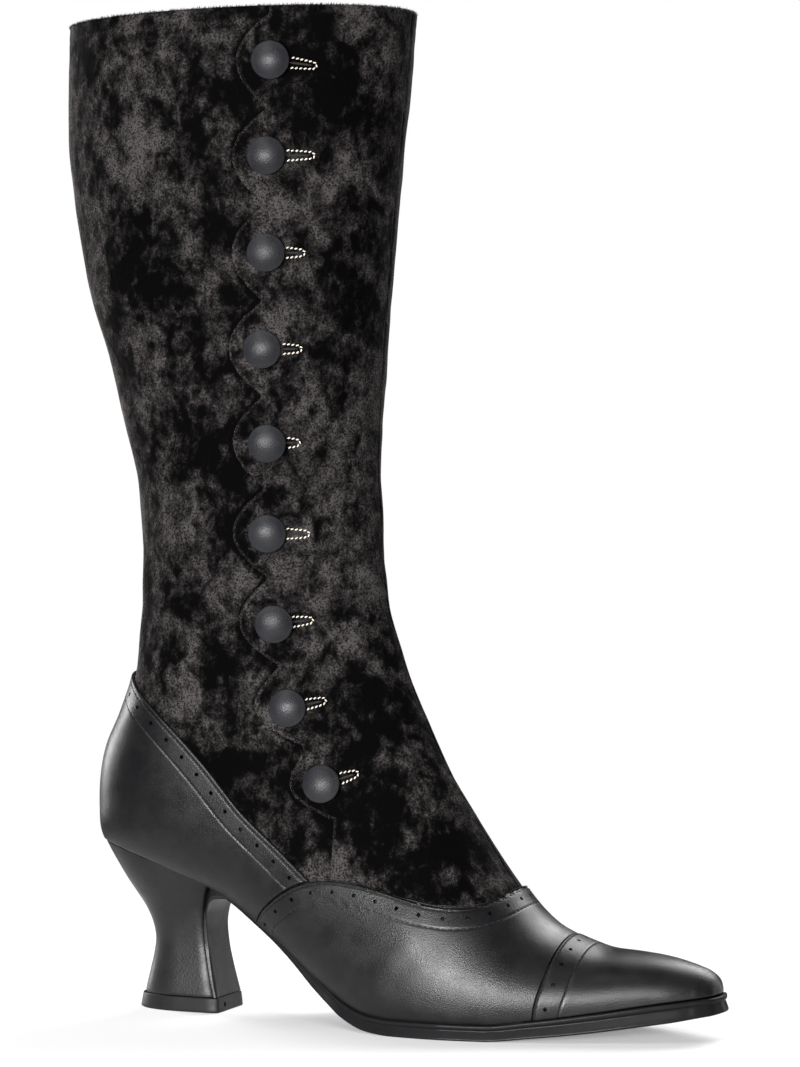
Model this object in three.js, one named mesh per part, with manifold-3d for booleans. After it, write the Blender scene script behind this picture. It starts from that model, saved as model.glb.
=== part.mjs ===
// A calf-high button boot for the right foot: velvet shaft, leather vamp, toe cap and counter, and a
// covered spool heel. Millimetres, +Z up. In the boot's own frame x runs from the back of the heel to
// the toe, z is the height above the floor, and y is negative on the outer side, where the buttons are.
import * as THREE from "three";
import { mergeVertices } from "three/addons/utils/BufferGeometryUtils.js";
import Module from "manifold-3d";

const wasm = await Module();
wasm.setup();
const lerp = THREE.MathUtils.lerp;

// Driving sizes
const footLength = 250.5; // back of the heel to the tip of the toe, under the leather
const heelHeight = 68; // sole line at the back of the heel, above the floor
const ankleHeight = 100; // narrowest part of the leg, above the back of the heel
const shaftHeight = 319; // collar, above the back of the heel
const collarRise = 2; // the collar is this much higher at the shin than at the calf
const instepHeight = 89; // ridge of the foot above the sole line, where it turns into the leg
const ballWidth = 76; // across the foot at the ball
const ankleWidth = 62; // across the leg at its narrowest
const shaftWidth = 88; // across the leg at the collar
const calfSwell = 32; // the calf stands back this far behind the ankle
const shinLean = 14; // the collar's front stands this far ahead of the ankle's
const toeSpring = 11; // rise of the sole line from the ball to the tip
const soleEdge = 6.2; // thickness of the sole at the ball
const soleReach = 3.4; // the sole's edge stands out this far from the foot at the ball

// Thicknesses and clearances
const wall = 2.2; // velvet, interlining and lining together
const leather = 1.2;
const capLeather = 1.5;
const flapVelvet = 1.3;
const insoleBoard = 2.5;
const gap = 0.3; // between pieces that touch
const tuck = 8; // the foot's form runs on below the sole line by this much before it is cut

// Heel
const topPieceThickness = 5.7;

// Buttons
const buttonDiameter = 14.5;
const buttonDome = 3.2;
const buttonRim = 1.5;
const rimRound = 0.25;
const buttonSides = 12;
const shankDiameter = 5;
const shankLength = 1.1;
const lobeReach = 13.2; // the flap's scalloped edge stands off this far behind a button's centre
const lobeRoundness = 0.62; // power of the sine that draws a scallop: smaller is squarer

// The sole line seen from the side, and the sole under it. x is a share of the foot length, heel a share
// of the heel's height over the sole's edge, spring a share of the toe spring, thick a share of the
// sole's edge and reach a share of its reach.
const soleRows = [
  { x: -0.02, heel: 1.003, spring: 0, thick: 0.33, reach: 0 },
  { x: 0.03, heel: 0.978, spring: 0, thick: 0.33, reach: 0 },
  { x: 0.09, heel: 0.916, spring: 0, thick: 0.33, reach: 0 },
  { x: 0.142, heel: 0.838, spring: 0, thick: 0.33, reach: 0 },
  { x: 0.194, heel: 0.756, spring: 0, thick: 0.33, reach: 0 },
  { x: 0.237, heel: 0.674, spring: 0, thick: 0.33, reach: 0 },
  { x: 0.29, heel: 0.54, spring: 0, thick: 0.42, reach: 0.05 },
  { x: 0.32, heel: 0.466, spring: 0, thick: 0.5, reach: 0.1 },
  { x: 0.358, heel: 0.36, spring: 0, thick: 0.66, reach: 0.3 },
  { x: 0.4, heel: 0.217, spring: 0, thick: 0.82, reach: 0.6 },
  { x: 0.45, heel: 0.076, spring: 0, thick: 0.95, reach: 0.88 },
  { x: 0.5, heel: 0.012, spring: 0, thick: 0.99, reach: 1 },
  { x: 0.54, heel: 0, spring: 0, thick: 1, reach: 1 },
  { x: 0.68, heel: 0, spring: 0, thick: 1, reach: 1 },
  { x: 0.75, heel: 0, spring: 0.17, thick: 1.06, reach: 1 },
  { x: 0.84, heel: 0, spring: 0.45, thick: 1.16, reach: 1 },
  { x: 0.93, heel: 0, spring: 0.77, thick: 1.2, reach: 1 },
  { x: 1.02, heel: 0, spring: 1.04, thick: 1.0, reach: 1.1 },
];

// Sections of the foot, from the toe back. Each is a ring in a plane that leans back from its top point
// on the ridge to its under point below the sole line. top and under are shares of the foot length,
// rise a share of the instep height, curve how far the ring lies to the inner side, outer and inner its
// half widths, all three as shares of the ball width, widest the place of the full width from under to
// top, and crown and skirt the fullness of the ring's two ends, where 2 is an ellipse.
const footRows = [
  { top: 0.9995, rise: 0.035, under: 0.9995, curve: 0.05, outer: 0.044, inner: 0.042,
    widest: 0.5, crown: 2.2, skirt: 2.4 },
  { top: 0.9955, rise: 0.055, under: 0.995, curve: 0.05, outer: 0.094, inner: 0.086,
    widest: 0.5, crown: 2.2, skirt: 2.6 },
  { top: 0.986, rise: 0.08, under: 0.984, curve: 0.049, outer: 0.128, inner: 0.112,
    widest: 0.48, crown: 2.2, skirt: 2.8 },
  { top: 0.97, rise: 0.104, under: 0.966, curve: 0.047, outer: 0.158, inner: 0.136,
    widest: 0.46, crown: 2.2, skirt: 3 },
  { top: 0.95, rise: 0.128, under: 0.945, curve: 0.044, outer: 0.19, inner: 0.164,
    widest: 0.45, crown: 2.2, skirt: 3 },
  { top: 0.921, rise: 0.157, under: 0.911, curve: 0.04, outer: 0.228, inner: 0.205,
    widest: 0.43, crown: 2.2, skirt: 3 },
  { top: 0.876, rise: 0.192, under: 0.86, curve: 0.033, outer: 0.28, inner: 0.263,
    widest: 0.4, crown: 2.15, skirt: 3 },
  { top: 0.832, rise: 0.221, under: 0.809, curve: 0.026, outer: 0.33, inner: 0.32,
    widest: 0.38, crown: 2.1, skirt: 3 },
  { top: 0.807, rise: 0.25, under: 0.769, curve: 0.021, outer: 0.366, inner: 0.362,
    widest: 0.36, crown: 2.05, skirt: 3 },
  { top: 0.776, rise: 0.294, under: 0.726, curve: 0.017, outer: 0.403, inner: 0.402,
    widest: 0.34, crown: 2, skirt: 3 },
  { top: 0.745, rise: 0.347, under: 0.682, curve: 0.013, outer: 0.439, inner: 0.437,
    widest: 0.32, crown: 2, skirt: 3 },
  { top: 0.712, rise: 0.436, under: 0.627, curve: 0.009, outer: 0.471, inner: 0.464,
    widest: 0.3, crown: 2, skirt: 3 },
  { top: 0.6775, rise: 0.565, under: 0.56, curve: 0.006, outer: 0.49, inner: 0.467,
    widest: 0.3, crown: 2, skirt: 3 },
  { top: 0.6435, rise: 0.705, under: 0.489, curve: 0.003, outer: 0.485, inner: 0.438,
    widest: 0.32, crown: 2, skirt: 2.9 },
  { top: 0.6115, rise: 0.846, under: 0.41, curve: 0.001, outer: 0.448, inner: 0.398,
    widest: 0.34, crown: 2, skirt: 2.8 },
  { top: 0.5775, rise: 1.0, under: 0.316, curve: 0, outer: 0.408, inner: 0.37,
    widest: 0.36, crown: 2, skirt: 2.7 },
];

// Sections through the heel and the ankle. front and back are shares of the foot length, frontRise and
// backRise shares of the ankle height above the back of the heel, and half a share of the ankle width.
const ankleRows = [
  { front: 0.548, frontRise: 0.42, back: 0.205, backRise: -0.217, half: 0.468,
    widest: 0.38, crown: 2, skirt: 2.6 },
  { front: 0.525, frontRise: 0.545, back: 0.1, backRise: -0.14, half: 0.472,
    widest: 0.38, crown: 2, skirt: 2.5 },
  { front: 0.509, frontRise: 0.641, back: 0.03, backRise: -0.077, half: 0.474,
    widest: 0.38, crown: 2, skirt: 2.4 },
  { front: 0.496, frontRise: 0.73, back: 0.0055, backRise: 0, half: 0.475,
    widest: 0.38, crown: 2, skirt: 2.3 },
  { front: 0.484, frontRise: 0.82, back: 0.0005, backRise: 0.105, half: 0.479,
    widest: 0.39, crown: 2, skirt: 2.25 },
  { front: 0.474, frontRise: 0.909, back: 0.002, backRise: 0.22, half: 0.485,
    widest: 0.4, crown: 2, skirt: 2.2 },
  { front: 0.4675, frontRise: 1.021, back: 0.012, backRise: 0.341, half: 0.493,
    widest: 0.42, crown: 2, skirt: 2.15 },
  { front: 0.463, frontRise: 1.13, back: 0.034, backRise: 0.462, half: 0.504,
    widest: 0.43, crown: 2, skirt: 2.1 },
  { front: 0.4615, frontRise: 1.25, back: 0.056, backRise: 0.6, half: 0.515,
    widest: 0.44, crown: 2, skirt: 2.1 },
];

// Sections of the leg above the ankle. frontRise and backRise run from 0 at the ankle's height to 1 at
// the collar, shin is a share of the shin's lean, calf a share of the calf's swell, and wide how far
// the width has gone from the ankle's to the collar's.
const legRows = [
  { shin: 0, frontRise: 0.195, calf: 0.06, backRise: -0.1, wide: 0.14,
    widest: 0.46, crown: 2, skirt: 2.1 },
  { shin: 0.03, frontRise: 0.275, calf: 0, backRise: 0.01, wide: 0.26,
    widest: 0.48, crown: 2, skirt: 2.1 },
  { shin: 0.12, frontRise: 0.371, calf: 0.045, backRise: 0.147, wide: 0.4,
    widest: 0.49, crown: 2.05, skirt: 2.1 },
  { shin: 0.265, frontRise: 0.502, calf: 0.33, backRise: 0.33, wide: 0.57,
    widest: 0.5, crown: 2.1, skirt: 2.1 },
  { shin: 0.46, frontRise: 0.639, calf: 0.705, backRise: 0.521, wide: 0.755,
    widest: 0.5, crown: 2.1, skirt: 2.1 },
  { shin: 0.69, frontRise: 0.786, calf: 0.975, backRise: 0.73, wide: 0.885,
    widest: 0.5, crown: 2.1, skirt: 2.1 },
  { shin: 0.905, frontRise: 0.913, calf: 1.0, backRise: 0.891, wide: 0.97,
    widest: 0.5, crown: 2.1, skirt: 2.1 },
  { shin: 1.0, frontRise: 1.0, calf: 0.975, backRise: 1.0, wide: 1,
    widest: 0.5, crown: 2.1, skirt: 2.1 },
  { shin: 1.09, frontRise: 1.07, calf: 0.95, backRise: 1.07, wide: 1.02,
    widest: 0.5, crown: 2.1, skirt: 2.1 },
];
const ankleFront = 0.4575; // place of the ankle's front, as a share of the foot length
const ankleBack = 0.073; // place of the ankle's back

// Edges of the leather, seen from the side. x is a share of the foot length, up a share of the instep
// height above the sole line, or of the ankle height for the counter.
const vampTopRows = [
  { x: 0.27, up: -0.15 },
  { x: 0.298, up: 0.006 },
  { x: 0.325, up: 0.129 },
  { x: 0.364, up: 0.282 },
  { x: 0.399, up: 0.403 },
  { x: 0.434, up: 0.487 },
  { x: 0.468, up: 0.526 },
  { x: 0.511, up: 0.53 },
  { x: 0.5535, up: 0.502 },
  { x: 0.593, up: 0.476 },
  { x: 0.63, up: 0.464 },
  { x: 0.66, up: 0.472 },
  { x: 0.6825, up: 0.5045 },
  { x: 0.698, up: 0.55 },
  { x: 0.71, up: 0.62 },
];
const counterTopRows = [
  { x: -0.1, up: 0.7 },
  { x: 0.055, up: 0.685 },
  { x: 0.086, up: 0.659 },
  { x: 0.135, up: 0.61 },
  { x: 0.18, up: 0.55 },
  { x: 0.22, up: 0.49 },
  { x: 0.283, up: 0.405 },
  { x: 0.3535, up: 0.365 },
  { x: 0.42, up: 0.36 },
];
const toeCapRows = [
  { x: 0.75, up: -0.15 },
  { x: 0.757, up: 0.07 },
  { x: 0.764, up: 0.14 },
  { x: 0.7705, up: 0.23 },
  { x: 0.774, up: 0.31 },
  { x: 0.775, up: 0.5 },
];

// Buttons on the outer side. forward is a share of the foot length, up a share of the shaft height
// above the back of the heel.
const buttonRows = [
  { forward: 0.352, up: 0.936 },
  { forward: 0.343, up: 0.824 },
  { forward: 0.34, up: 0.71 },
  { forward: 0.3315, up: 0.596 },
  { forward: 0.334, up: 0.4845 },
  { forward: 0.329, up: 0.377 },
  { forward: 0.334, up: 0.269 },
  { forward: 0.354, up: 0.167 },
  { forward: 0.413, up: 0.077 },
];

// The flap's scallops meet in notches between the buttons. notchSetBack is how far a notch lies behind the
// middle of its two buttons, as a share of the foot length, and flapCorner is the flap's lower corner.
const flapCorner = { forward: 0.436, up: 0.035 };
const notchSetBack = 0.003;

// The heel from its seat down. at is a share of the heel height, back and front shares of the foot
// length, and half a share of the seat's half width.
const heelRows = [
  { at: 1.04, back: -0.008, front: 0.235, half: 1.0 },
  { at: 1.0, back: -0.005, front: 0.231, half: 0.995 },
  { at: 0.955, back: 0.0015, front: 0.226, half: 0.98 },
  { at: 0.905, back: 0.0095, front: 0.221, half: 0.955 },
  { at: 0.82, back: 0.0245, front: 0.21, half: 0.9 },
  { at: 0.737, back: 0.0395, front: 0.197, half: 0.81 },
  { at: 0.67, back: 0.0525, front: 0.1885, half: 0.71 },
  { at: 0.59, back: 0.0675, front: 0.183, half: 0.6 },
  { at: 0.5, back: 0.079, front: 0.181, half: 0.53 },
  { at: 0.4, back: 0.084, front: 0.183, half: 0.497 },
  { at: 0.31, back: 0.0805, front: 0.187, half: 0.502 },
  { at: 0.22, back: 0.0745, front: 0.192, half: 0.53 },
  { at: 0.14, back: 0.069, front: 0.197, half: 0.563 },
  { at: 0, back: 0.0605, front: 0.2065, half: 0.6 },
];
// The front of the leather that covers the heel's breast, which turns forward under the sole's waist.
const breastRows = [
  { at: 0, front: 0.2125, half: 0.59 },
  { at: 0.14, front: 0.2045, half: 0.555 },
  { at: 0.229, front: 0.199, half: 0.52 },
  { at: 0.357, front: 0.192, half: 0.488 },
  { at: 0.487, front: 0.1875, half: 0.5 },
  { at: 0.56, front: 0.1885, half: 0.545 },
  { at: 0.615, front: 0.193, half: 0.61 },
  { at: 0.65, front: 0.201, half: 0.68 },
  { at: 0.664, front: 0.211, half: 0.74 },
  { at: 0.669, front: 0.237, half: 0.82 },
  { at: 0.8, front: 0.237, half: 0.86 },
];
const soleStart = 0.237; // the sole's back end, as a share of the foot length

// Layers of the sole's edge from the top down: a thin lip, a groove under it and the edge proper.
// reach is a share of the sole's reach there, and down a share of its thickness.
const soleLayers = [
  { reach: 0.62, down: 0 },
  { reach: 0.82, down: 0.06 },
  { reach: 0.82, down: 0.27 },
  { reach: 0.66, down: 0.34 },
  { reach: 1, down: 0.88 },
  { reach: 0.78, down: 1 },
];

// A smooth curve through the given values. A steady one never overshoots them.
function curveThrough(keys, values, steady = false) {
  const last = keys.length - 1;
  const spans = keys.slice(1).map((key, i) => key - keys[i]);
  const rises = spans.map((span, i) => (values[i + 1] - values[i]) / span);
  const slopes = keys.map((_, i) => {
    if (i === 0) return rises[0];
    if (i === last) return rises[last - 1];
    const [before, after] = [rises[i - 1], rises[i]];
    if (!steady) return (spans[i] * before + spans[i - 1] * after) / (spans[i - 1] + spans[i]);
    return before * after <= 0 ? 0 : (2 * before * after) / (before + after);
  });
  return (at) => {
    if (at <= keys[0]) return values[0] + slopes[0] * (at - keys[0]);
    if (at >= keys[last]) return values[last] + slopes[last] * (at - keys[last]);
    const i = keys.findIndex((key) => key > at) - 1;
    const t = (at - keys[i]) / spans[i];
    const near = (1 + 2 * t) * (1 - t) ** 2 * values[i] + t * (1 - t) ** 2 * spans[i] * slopes[i];
    const far = t * t * (3 - 2 * t) * values[i + 1] + t * t * (t - 1) * spans[i] * slopes[i + 1];
    return near + far;
  };
}

// Sole line and sole
const soleKeys = soleRows.map((row) => row.x * footLength);
const soleCurve = (value) => curveThrough(soleKeys, soleRows.map(value), true);
const seatLine = soleCurve(
  (row) => soleEdge + row.heel * (heelHeight - soleEdge) + row.spring * toeSpring,
);
const soleThickness = soleCurve((row) => row.thick * soleEdge);
const soleOverhang = soleCurve((row) => row.reach * soleReach);

// The collar, higher at the shin than at the calf
const collarHeight = heelHeight + shaftHeight;
const shinAtCollar = ankleFront * footLength + shinLean;
const calfAtCollar = ankleBack * footLength - calfSwell;
function collarLine(x) {
  const forward = (x - calfAtCollar) / (shinAtCollar - calfAtCollar) - 0.5;
  return collarHeight + forward * collarRise;
}

// Every section of the boot's form, as places and half widths in millimetres
function shapeOf({ widest, crown, skirt }) {
  return { widest, crown, skirt };
}
const sections = [
  ...footRows.map((row) => ({
    topX: row.top * footLength,
    topZ: seatLine(row.top * footLength) + row.rise * instepHeight,
    underX: row.under * footLength,
    underZ: seatLine(row.under * footLength) - tuck,
    middle: row.curve * ballWidth,
    outer: row.outer * ballWidth,
    inner: row.inner * ballWidth,
    ...shapeOf(row),
  })),
  ...ankleRows.map((row) => ({
    topX: row.front * footLength,
    topZ: heelHeight + row.frontRise * ankleHeight,
    underX: row.back * footLength,
    underZ: heelHeight + row.backRise * ankleHeight,
    middle: 0,
    outer: row.half * ankleWidth,
    inner: row.half * ankleWidth,
    ...shapeOf(row),
  })),
  ...legRows.map((row) => ({
    topX: ankleFront * footLength + row.shin * shinLean,
    topZ: heelHeight + lerp(ankleHeight, shaftHeight, row.frontRise),
    underX: ankleBack * footLength - row.calf * calfSwell,
    underZ: heelHeight + lerp(ankleHeight, shaftHeight, row.backRise),
    middle: 0,
    outer: lerp(ankleWidth, shaftWidth, row.wide) / 2,
    inner: lerp(ankleWidth, shaftWidth, row.wide) / 2,
    ...shapeOf(row),
  })),
];
const lastRow = sections.length - 1;
const firstLegRow = footRows.length + ankleRows.length;
const sectionKeys = [0];
sections.slice(1).forEach((next, i) => {
  const here = sections[i];
  const top = Math.hypot(next.topX - here.topX, next.topZ - here.topZ);
  const under = Math.hypot(next.underX - here.underX, next.underZ - here.underZ);
  sectionKeys.push(sectionKeys[i] + (top + under) / 2);
});
const sectionCurves = Object.fromEntries(
  Object.keys(sections[0]).map((name) => [
    name,
    curveThrough(sectionKeys, sections.map((section) => section[name])),
  ]),
);

// The section at a row number, which may lie between two rows.
function sectionAt(row) {
  const i = Math.min(Math.floor(row), lastRow - 1);
  const key = lerp(sectionKeys[i], sectionKeys[i + 1], row - i);
  return Object.fromEntries(Object.entries(sectionCurves).map(([name, curve]) => [name, curve(key)]));
}

// A point of the form. turn is 0 on the ridge and the shin, a quarter turn on the outer side and half a
// turn under the sole and up the back.
function onForm(row, turn) {
  const section = sectionAt(row);
  const forward = Math.cos(turn);
  const sideways = Math.sin(turn);
  const power = forward >= 0 ? section.crown : section.skirt;
  const reach = (Math.abs(forward) ** power + Math.abs(sideways) ** power) ** (-1 / power);
  const room = forward >= 0 ? 1 - section.widest : section.widest;
  const along = section.widest + forward * reach * room;
  const half = sideways >= 0 ? section.outer : section.inner;
  return new THREE.Vector3(
    lerp(section.underX, section.topX, along),
    section.middle - sideways * reach * half,
    lerp(section.underZ, section.topZ, along),
  );
}

function normalAt(row, turn) {
  const step = 0.01;
  const alongRows = onForm(Math.min(row + step, lastRow), turn).sub(onForm(Math.max(row - step, 0), turn));
  const aroundRing = onForm(row, turn + step).sub(onForm(row, turn - step));
  return alongRows.cross(aroundRing).normalize();
}

// A point of the form moved out by a distance, square to its surface.
function offForm(row, turn, distance) {
  return onForm(row, turn).addScaledVector(normalAt(row, turn), distance);
}

// Solids
function solidOf(points, triangles) {
  const closed = (order) =>
    new wasm.Manifold(
      new wasm.Mesh({
        numProp: 3,
        vertProperties: new Float32Array(points.flatMap((point) => [point.x, point.y, point.z])),
        triVerts: new Uint32Array(order),
      }),
    );
  const made = closed(triangles);
  return made.volume() > 0 ? made : closed([...triangles].reverse());
}

function solidOfGeometry(geometry) {
  geometry.deleteAttribute("normal");
  geometry.deleteAttribute("uv");
  const merged = mergeVertices(geometry, 1e-4);
  const points = [];
  for (let i = 0; i < merged.attributes.position.count; i++) {
    points.push(new THREE.Vector3().fromBufferAttribute(merged.attributes.position, i));
  }
  return solidOf(points, Array.from(merged.index.array));
}

// A closed skin over rings of equal count, with a fan of triangles over the first and the last.
function skinOver(rings) {
  const around = rings[0].length;
  const points = rings.flat();
  const triangles = [];
  for (let i = 0; i < rings.length - 1; i++) {
    for (let j = 0; j < around; j++) {
      const a = i * around + j;
      const b = i * around + ((j + 1) % around);
      triangles.push(a, b, a + around, b, b + around, a + around);
    }
  }
  for (const ring of [0, rings.length - 1]) {
    const sum = rings[ring].reduce((total, point) => total.add(point), new THREE.Vector3());
    const hub = points.push(sum.divideScalar(around)) - 1;
    for (let j = 0; j < around; j++) {
      const a = ring * around + j;
      const b = ring * around + ((j + 1) % around);
      triangles.push(...(ring ? [a, b, hub] : [b, a, hub]));
    }
  }
  return solidOf(points, triangles);
}

// A prism whose outline is given in x and z, from one y to another.
const clearOfAll = 2 * footLength;
function across(outline, from = -clearOfAll, to = clearOfAll) {
  const shape = new THREE.Shape(outline.map(([x, z]) => new THREE.Vector2(x, z)));
  const geometry = new THREE.ExtrudeGeometry(shape, { depth: to - from, bevelEnabled: false });
  geometry.rotateX(Math.PI / 2);
  geometry.translate(0, to, 0);
  return solidOfGeometry(geometry);
}

// An open line in x and z moved sideways, to the left of its way.
function beside(line, distance) {
  return line.map(([x, z], i) => {
    const [ax, az] = line[Math.max(i - 1, 0)];
    const [bx, bz] = line[Math.min(i + 1, line.length - 1)];
    const length = Math.hypot(bx - ax, bz - az);
    return [x - (distance * (bz - az)) / length, z + (distance * (bx - ax)) / length];
  });
}

// The boot's form, grown by a distance or by a rule for it
const ringsPerLegRow = 2;
const formRows = [];
for (let row = 0; row < firstLegRow; row++) formRows.push(row);
for (let row = firstLegRow; row <= lastRow; row += 1 / ringsPerLegRow) formRows.push(row);
const turnCount = 24;
const formTurns = Array.from({ length: turnCount }, (_, j) => (j / turnCount) * 2 * Math.PI);
function form(distance) {
  const rule = typeof distance === "function" ? distance : () => distance;
  return skinOver(formRows.map((row) => formTurns.map((turn) => offForm(row, turn, rule(turn)))));
}

// Places along the sole, closer together at the toe and the arch
const soleStations = 27;
const soleBack = soleStart * footLength + gap;
const crowding = 0.55; // 0 spaces the places evenly, 1 crowds them most
const stations = Array.from({ length: soleStations + 1 }, (_, i) => {
  const t = i / soleStations;
  const eased = (1 - Math.cos(Math.PI * t)) / 2;
  return lerp(footLength, soleBack, lerp(t, eased, crowding));
});
const heelStations = [0.2, 0.16, 0.12, 0.08, 0.04, 0, -0.04].map((x) => x * footLength);
const beyondToe = footLength + 20;
const sideStations = [beyondToe, ...stations, ...heelStations];

// Everything above the sole line and below the collar
const behindHeel = -calfSwell - 40;
const aboveSole = across([
  ...sideStations.map((x) => [x, seatLine(x)]),
  [behindHeel, seatLine(heelStations.at(-1))],
  [behindHeel, collarLine(behindHeel)],
  [beyondToe, collarLine(beyondToe)],
]);
const outside = form(0);
const inside = form(-wall);
const upper = outside.subtract(inside).intersect(aboveSole);

// Leather over the velvet
const onSide = (row, height) => {
  const x = row.x * footLength;
  return [x, seatLine(x) + row.up * height];
};
const vampTop = vampTopRows.map((row) => onSide(row, instepHeight));
const counterTop = counterTopRows.map((row) => onSide(row, ankleHeight));
const toeCapEdge = toeCapRows.map((row) => onSide(row, instepHeight));
const underFloor = -20;
const justOutside = form(gap);
const leatherShell = form(gap + leather).subtract(justOutside).intersect(aboveSole);
const capShell = form(gap + capLeather).subtract(justOutside).intersect(aboveSole);
const vampRegion = (grown) => {
  const top = beside(vampTop, grown);
  return across([...top, [beyondToe, top.at(-1)[1]], [beyondToe, underFloor], [top[0][0], underFloor]]);
};
const capRegion = (grown) => {
  const edge = beside(toeCapEdge, grown);
  return across([...edge, [beyondToe, edge.at(-1)[1]], [beyondToe, edge[0][1]]]);
};
const vamp = leatherShell.intersect(vampRegion(0)).subtract(capRegion(gap));
const toeCap = capShell.intersect(capRegion(0));
const counter = leatherShell
  .intersect(across([...counterTop, [counterTop.at(-1)[0], underFloor], [counterTop[0][0], underFloor]]))
  .subtract(vampRegion(gap));

// The buttons' places on the form's outer side, found by closing in on their x and z
function outerPointAt(x, z) {
  let [row, turn] = [firstLegRow, Math.PI / 2];
  for (let pass = 0; pass < 40; pass++) {
    const here = onForm(row, turn);
    const step = 0.001;
    const byRow = onForm(row + step, turn).sub(here).divideScalar(step);
    const byTurn = onForm(row, turn + step).sub(here).divideScalar(step);
    const determinant = byRow.x * byTurn.z - byRow.z * byTurn.x;
    const [missX, missZ] = [x - here.x, z - here.z];
    const rowStep = (missX * byTurn.z - missZ * byTurn.x) / determinant;
    const turnStep = (byRow.x * missZ - byRow.z * missX) / determinant;
    row = THREE.MathUtils.clamp(row + THREE.MathUtils.clamp(rowStep, -1, 1), 1, lastRow - 1);
    turn = THREE.MathUtils.clamp(turn + THREE.MathUtils.clamp(turnStep, -0.2, 0.2), 0.1, 3);
  }
  return { row, turn };
}
const buttonPlaces = buttonRows.map((row) => [row.forward * footLength, heelHeight + row.up * shaftHeight]);

// The velvet flap under the buttons, thick along its scalloped edge and thin at the seam down the shin
const seamVelvet = 0.5;
const flapTurn = Math.PI / 3;
function flapThickness(turn) {
  const fromShin = Math.min(turn, 2 * Math.PI - turn);
  return lerp(seamVelvet, flapVelvet, THREE.MathUtils.smoothstep(fromShin, 0, flapTurn));
}
const notches = buttonPlaces.slice(1).map(([x, z], i) => {
  const [upperX, upperZ] = buttonPlaces[i];
  return [(x + upperX) / 2 - notchSetBack * footLength, (z + upperZ) / 2];
});
const [firstX, firstZ] = buttonPlaces[0];
notches.unshift([firstX, 2 * firstZ - notches[0][1]]);
notches.push([flapCorner.forward * footLength, heelHeight + flapCorner.up * shaftHeight]);
const stepsPerLobe = 8;
const scallops = buttonPlaces.flatMap(([buttonX], i) =>
  Array.from({ length: stepsPerLobe }, (_, step) => {
    const t = step / stepsPerLobe;
    const chordX = lerp(notches[i][0], notches[i + 1][0], t);
    const depth = chordX - (buttonX - lobeReach);
    const x = chordX - depth * Math.sin(Math.PI * t) ** lobeRoundness;
    return [x, lerp(notches[i][1], notches[i + 1][1], t)];
  }),
);
const flapFoot = notches.at(-1);
const flapRegion = across(
  [
    [notches[0][0], collarHeight + collarRise],
    ...scallops,
    flapFoot,
    [flapFoot[0], underFloor],
    [beyondToe, underFloor],
    [beyondToe, collarHeight + collarRise],
  ],
  -clearOfAll,
  -gap / 2,
);
const buttonFlap = form((turn) => gap + flapThickness(turn))
  .subtract(justOutside)
  .intersect(aboveSole)
  .intersect(flapRegion)
  .subtract(vampRegion(gap))
  .subtract(capRegion(gap));

// Insole board inside the wall, level with the wall's lower edge
const insoleBand = across([
  ...sideStations.map((x) => [x, seatLine(x)]),
  ...[...sideStations].reverse().map((x) => [x, seatLine(x) + insoleBoard]),
]);
const insole = form(-wall - gap).intersect(insoleBand);

// The foot's outline where the sole line cuts the form, on one side, as x and y from toe to heel
function halfOutline(side) {
  const crossing = (row) => {
    let [above, below] = [0, Math.PI];
    for (let pass = 0; pass < 30; pass++) {
      const turn = (above + below) / 2;
      const point = onForm(row, side * turn);
      if (point.z > seatLine(point.x)) above = turn;
      else below = turn;
    }
    return onForm(row, (side * (above + below)) / 2);
  };
  const samples = 240;
  const points = [];
  for (let i = 0; i <= samples; i++) {
    const row = (i / samples) * firstLegRow;
    const under = onForm(row, Math.PI);
    if (under.z < seatLine(under.x)) points.push(crossing(row));
  }
  return (x) => {
    if (x >= points[0].x) return points[0].y;
    const i = points.findIndex((point) => point.x <= x);
    const [ahead, behind] = [points[i - 1], points[i]];
    return lerp(ahead.y, behind.y, (ahead.x - x) / (ahead.x - behind.x));
  };
}
const outerOutline = halfOutline(1);
const innerOutline = halfOutline(-1);
const seatSpot = 0.08 * footLength;
const seatHalf = (innerOutline(seatSpot) - outerOutline(seatSpot)) / 2;

// The sole, as layers of one outline with a strip of triangles over the top and the bottom
function outsoleSolid() {
  const ring = [
    ...stations.map((x) => new THREE.Vector2(x, outerOutline(x))),
    ...[...stations].reverse().map((x) => new THREE.Vector2(x, innerOutline(x))),
  ];
  const count = ring.length;
  const half = stations.length;
  const outward = ring.map((point, i) => {
    if (i === half - 1) return new THREE.Vector2(0, -1);
    if (i === half) return new THREE.Vector2(0, 1);
    const along = ring[(i + 1) % count].clone().sub(ring[(i + count - 1) % count]).normalize();
    return new THREE.Vector2(along.y, -along.x).negate();
  });
  const points = [];
  for (const layer of soleLayers) {
    ring.forEach((point, i) => {
      const out = layer.reach * soleOverhang(point.x);
      const placed = point.clone().addScaledVector(outward[i], out);
      points.push(
        new THREE.Vector3(
          placed.x,
          placed.y,
          seatLine(point.x) - gap - layer.down * (soleThickness(point.x) - gap),
        ),
      );
    });
  }
  const triangles = [];
  for (let layer = 0; layer < soleLayers.length - 1; layer++) {
    for (let i = 0; i < count; i++) {
      const a = layer * count + i;
      const b = layer * count + ((i + 1) % count);
      triangles.push(a, b, a + count, b, b + count, a + count);
    }
  }
  const bottom = (soleLayers.length - 1) * count;
  for (let i = 0; i < half - 1; i++) {
    const [a, b, c, d] = [i, i + 1, count - 2 - i, count - 1 - i];
    triangles.push(b, a, d, b, d, c);
    triangles.push(bottom + a, bottom + b, bottom + d, bottom + b, bottom + c, bottom + d);
  }
  return solidOf(points, triangles);
}
const outsole = outsoleSolid();

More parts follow.
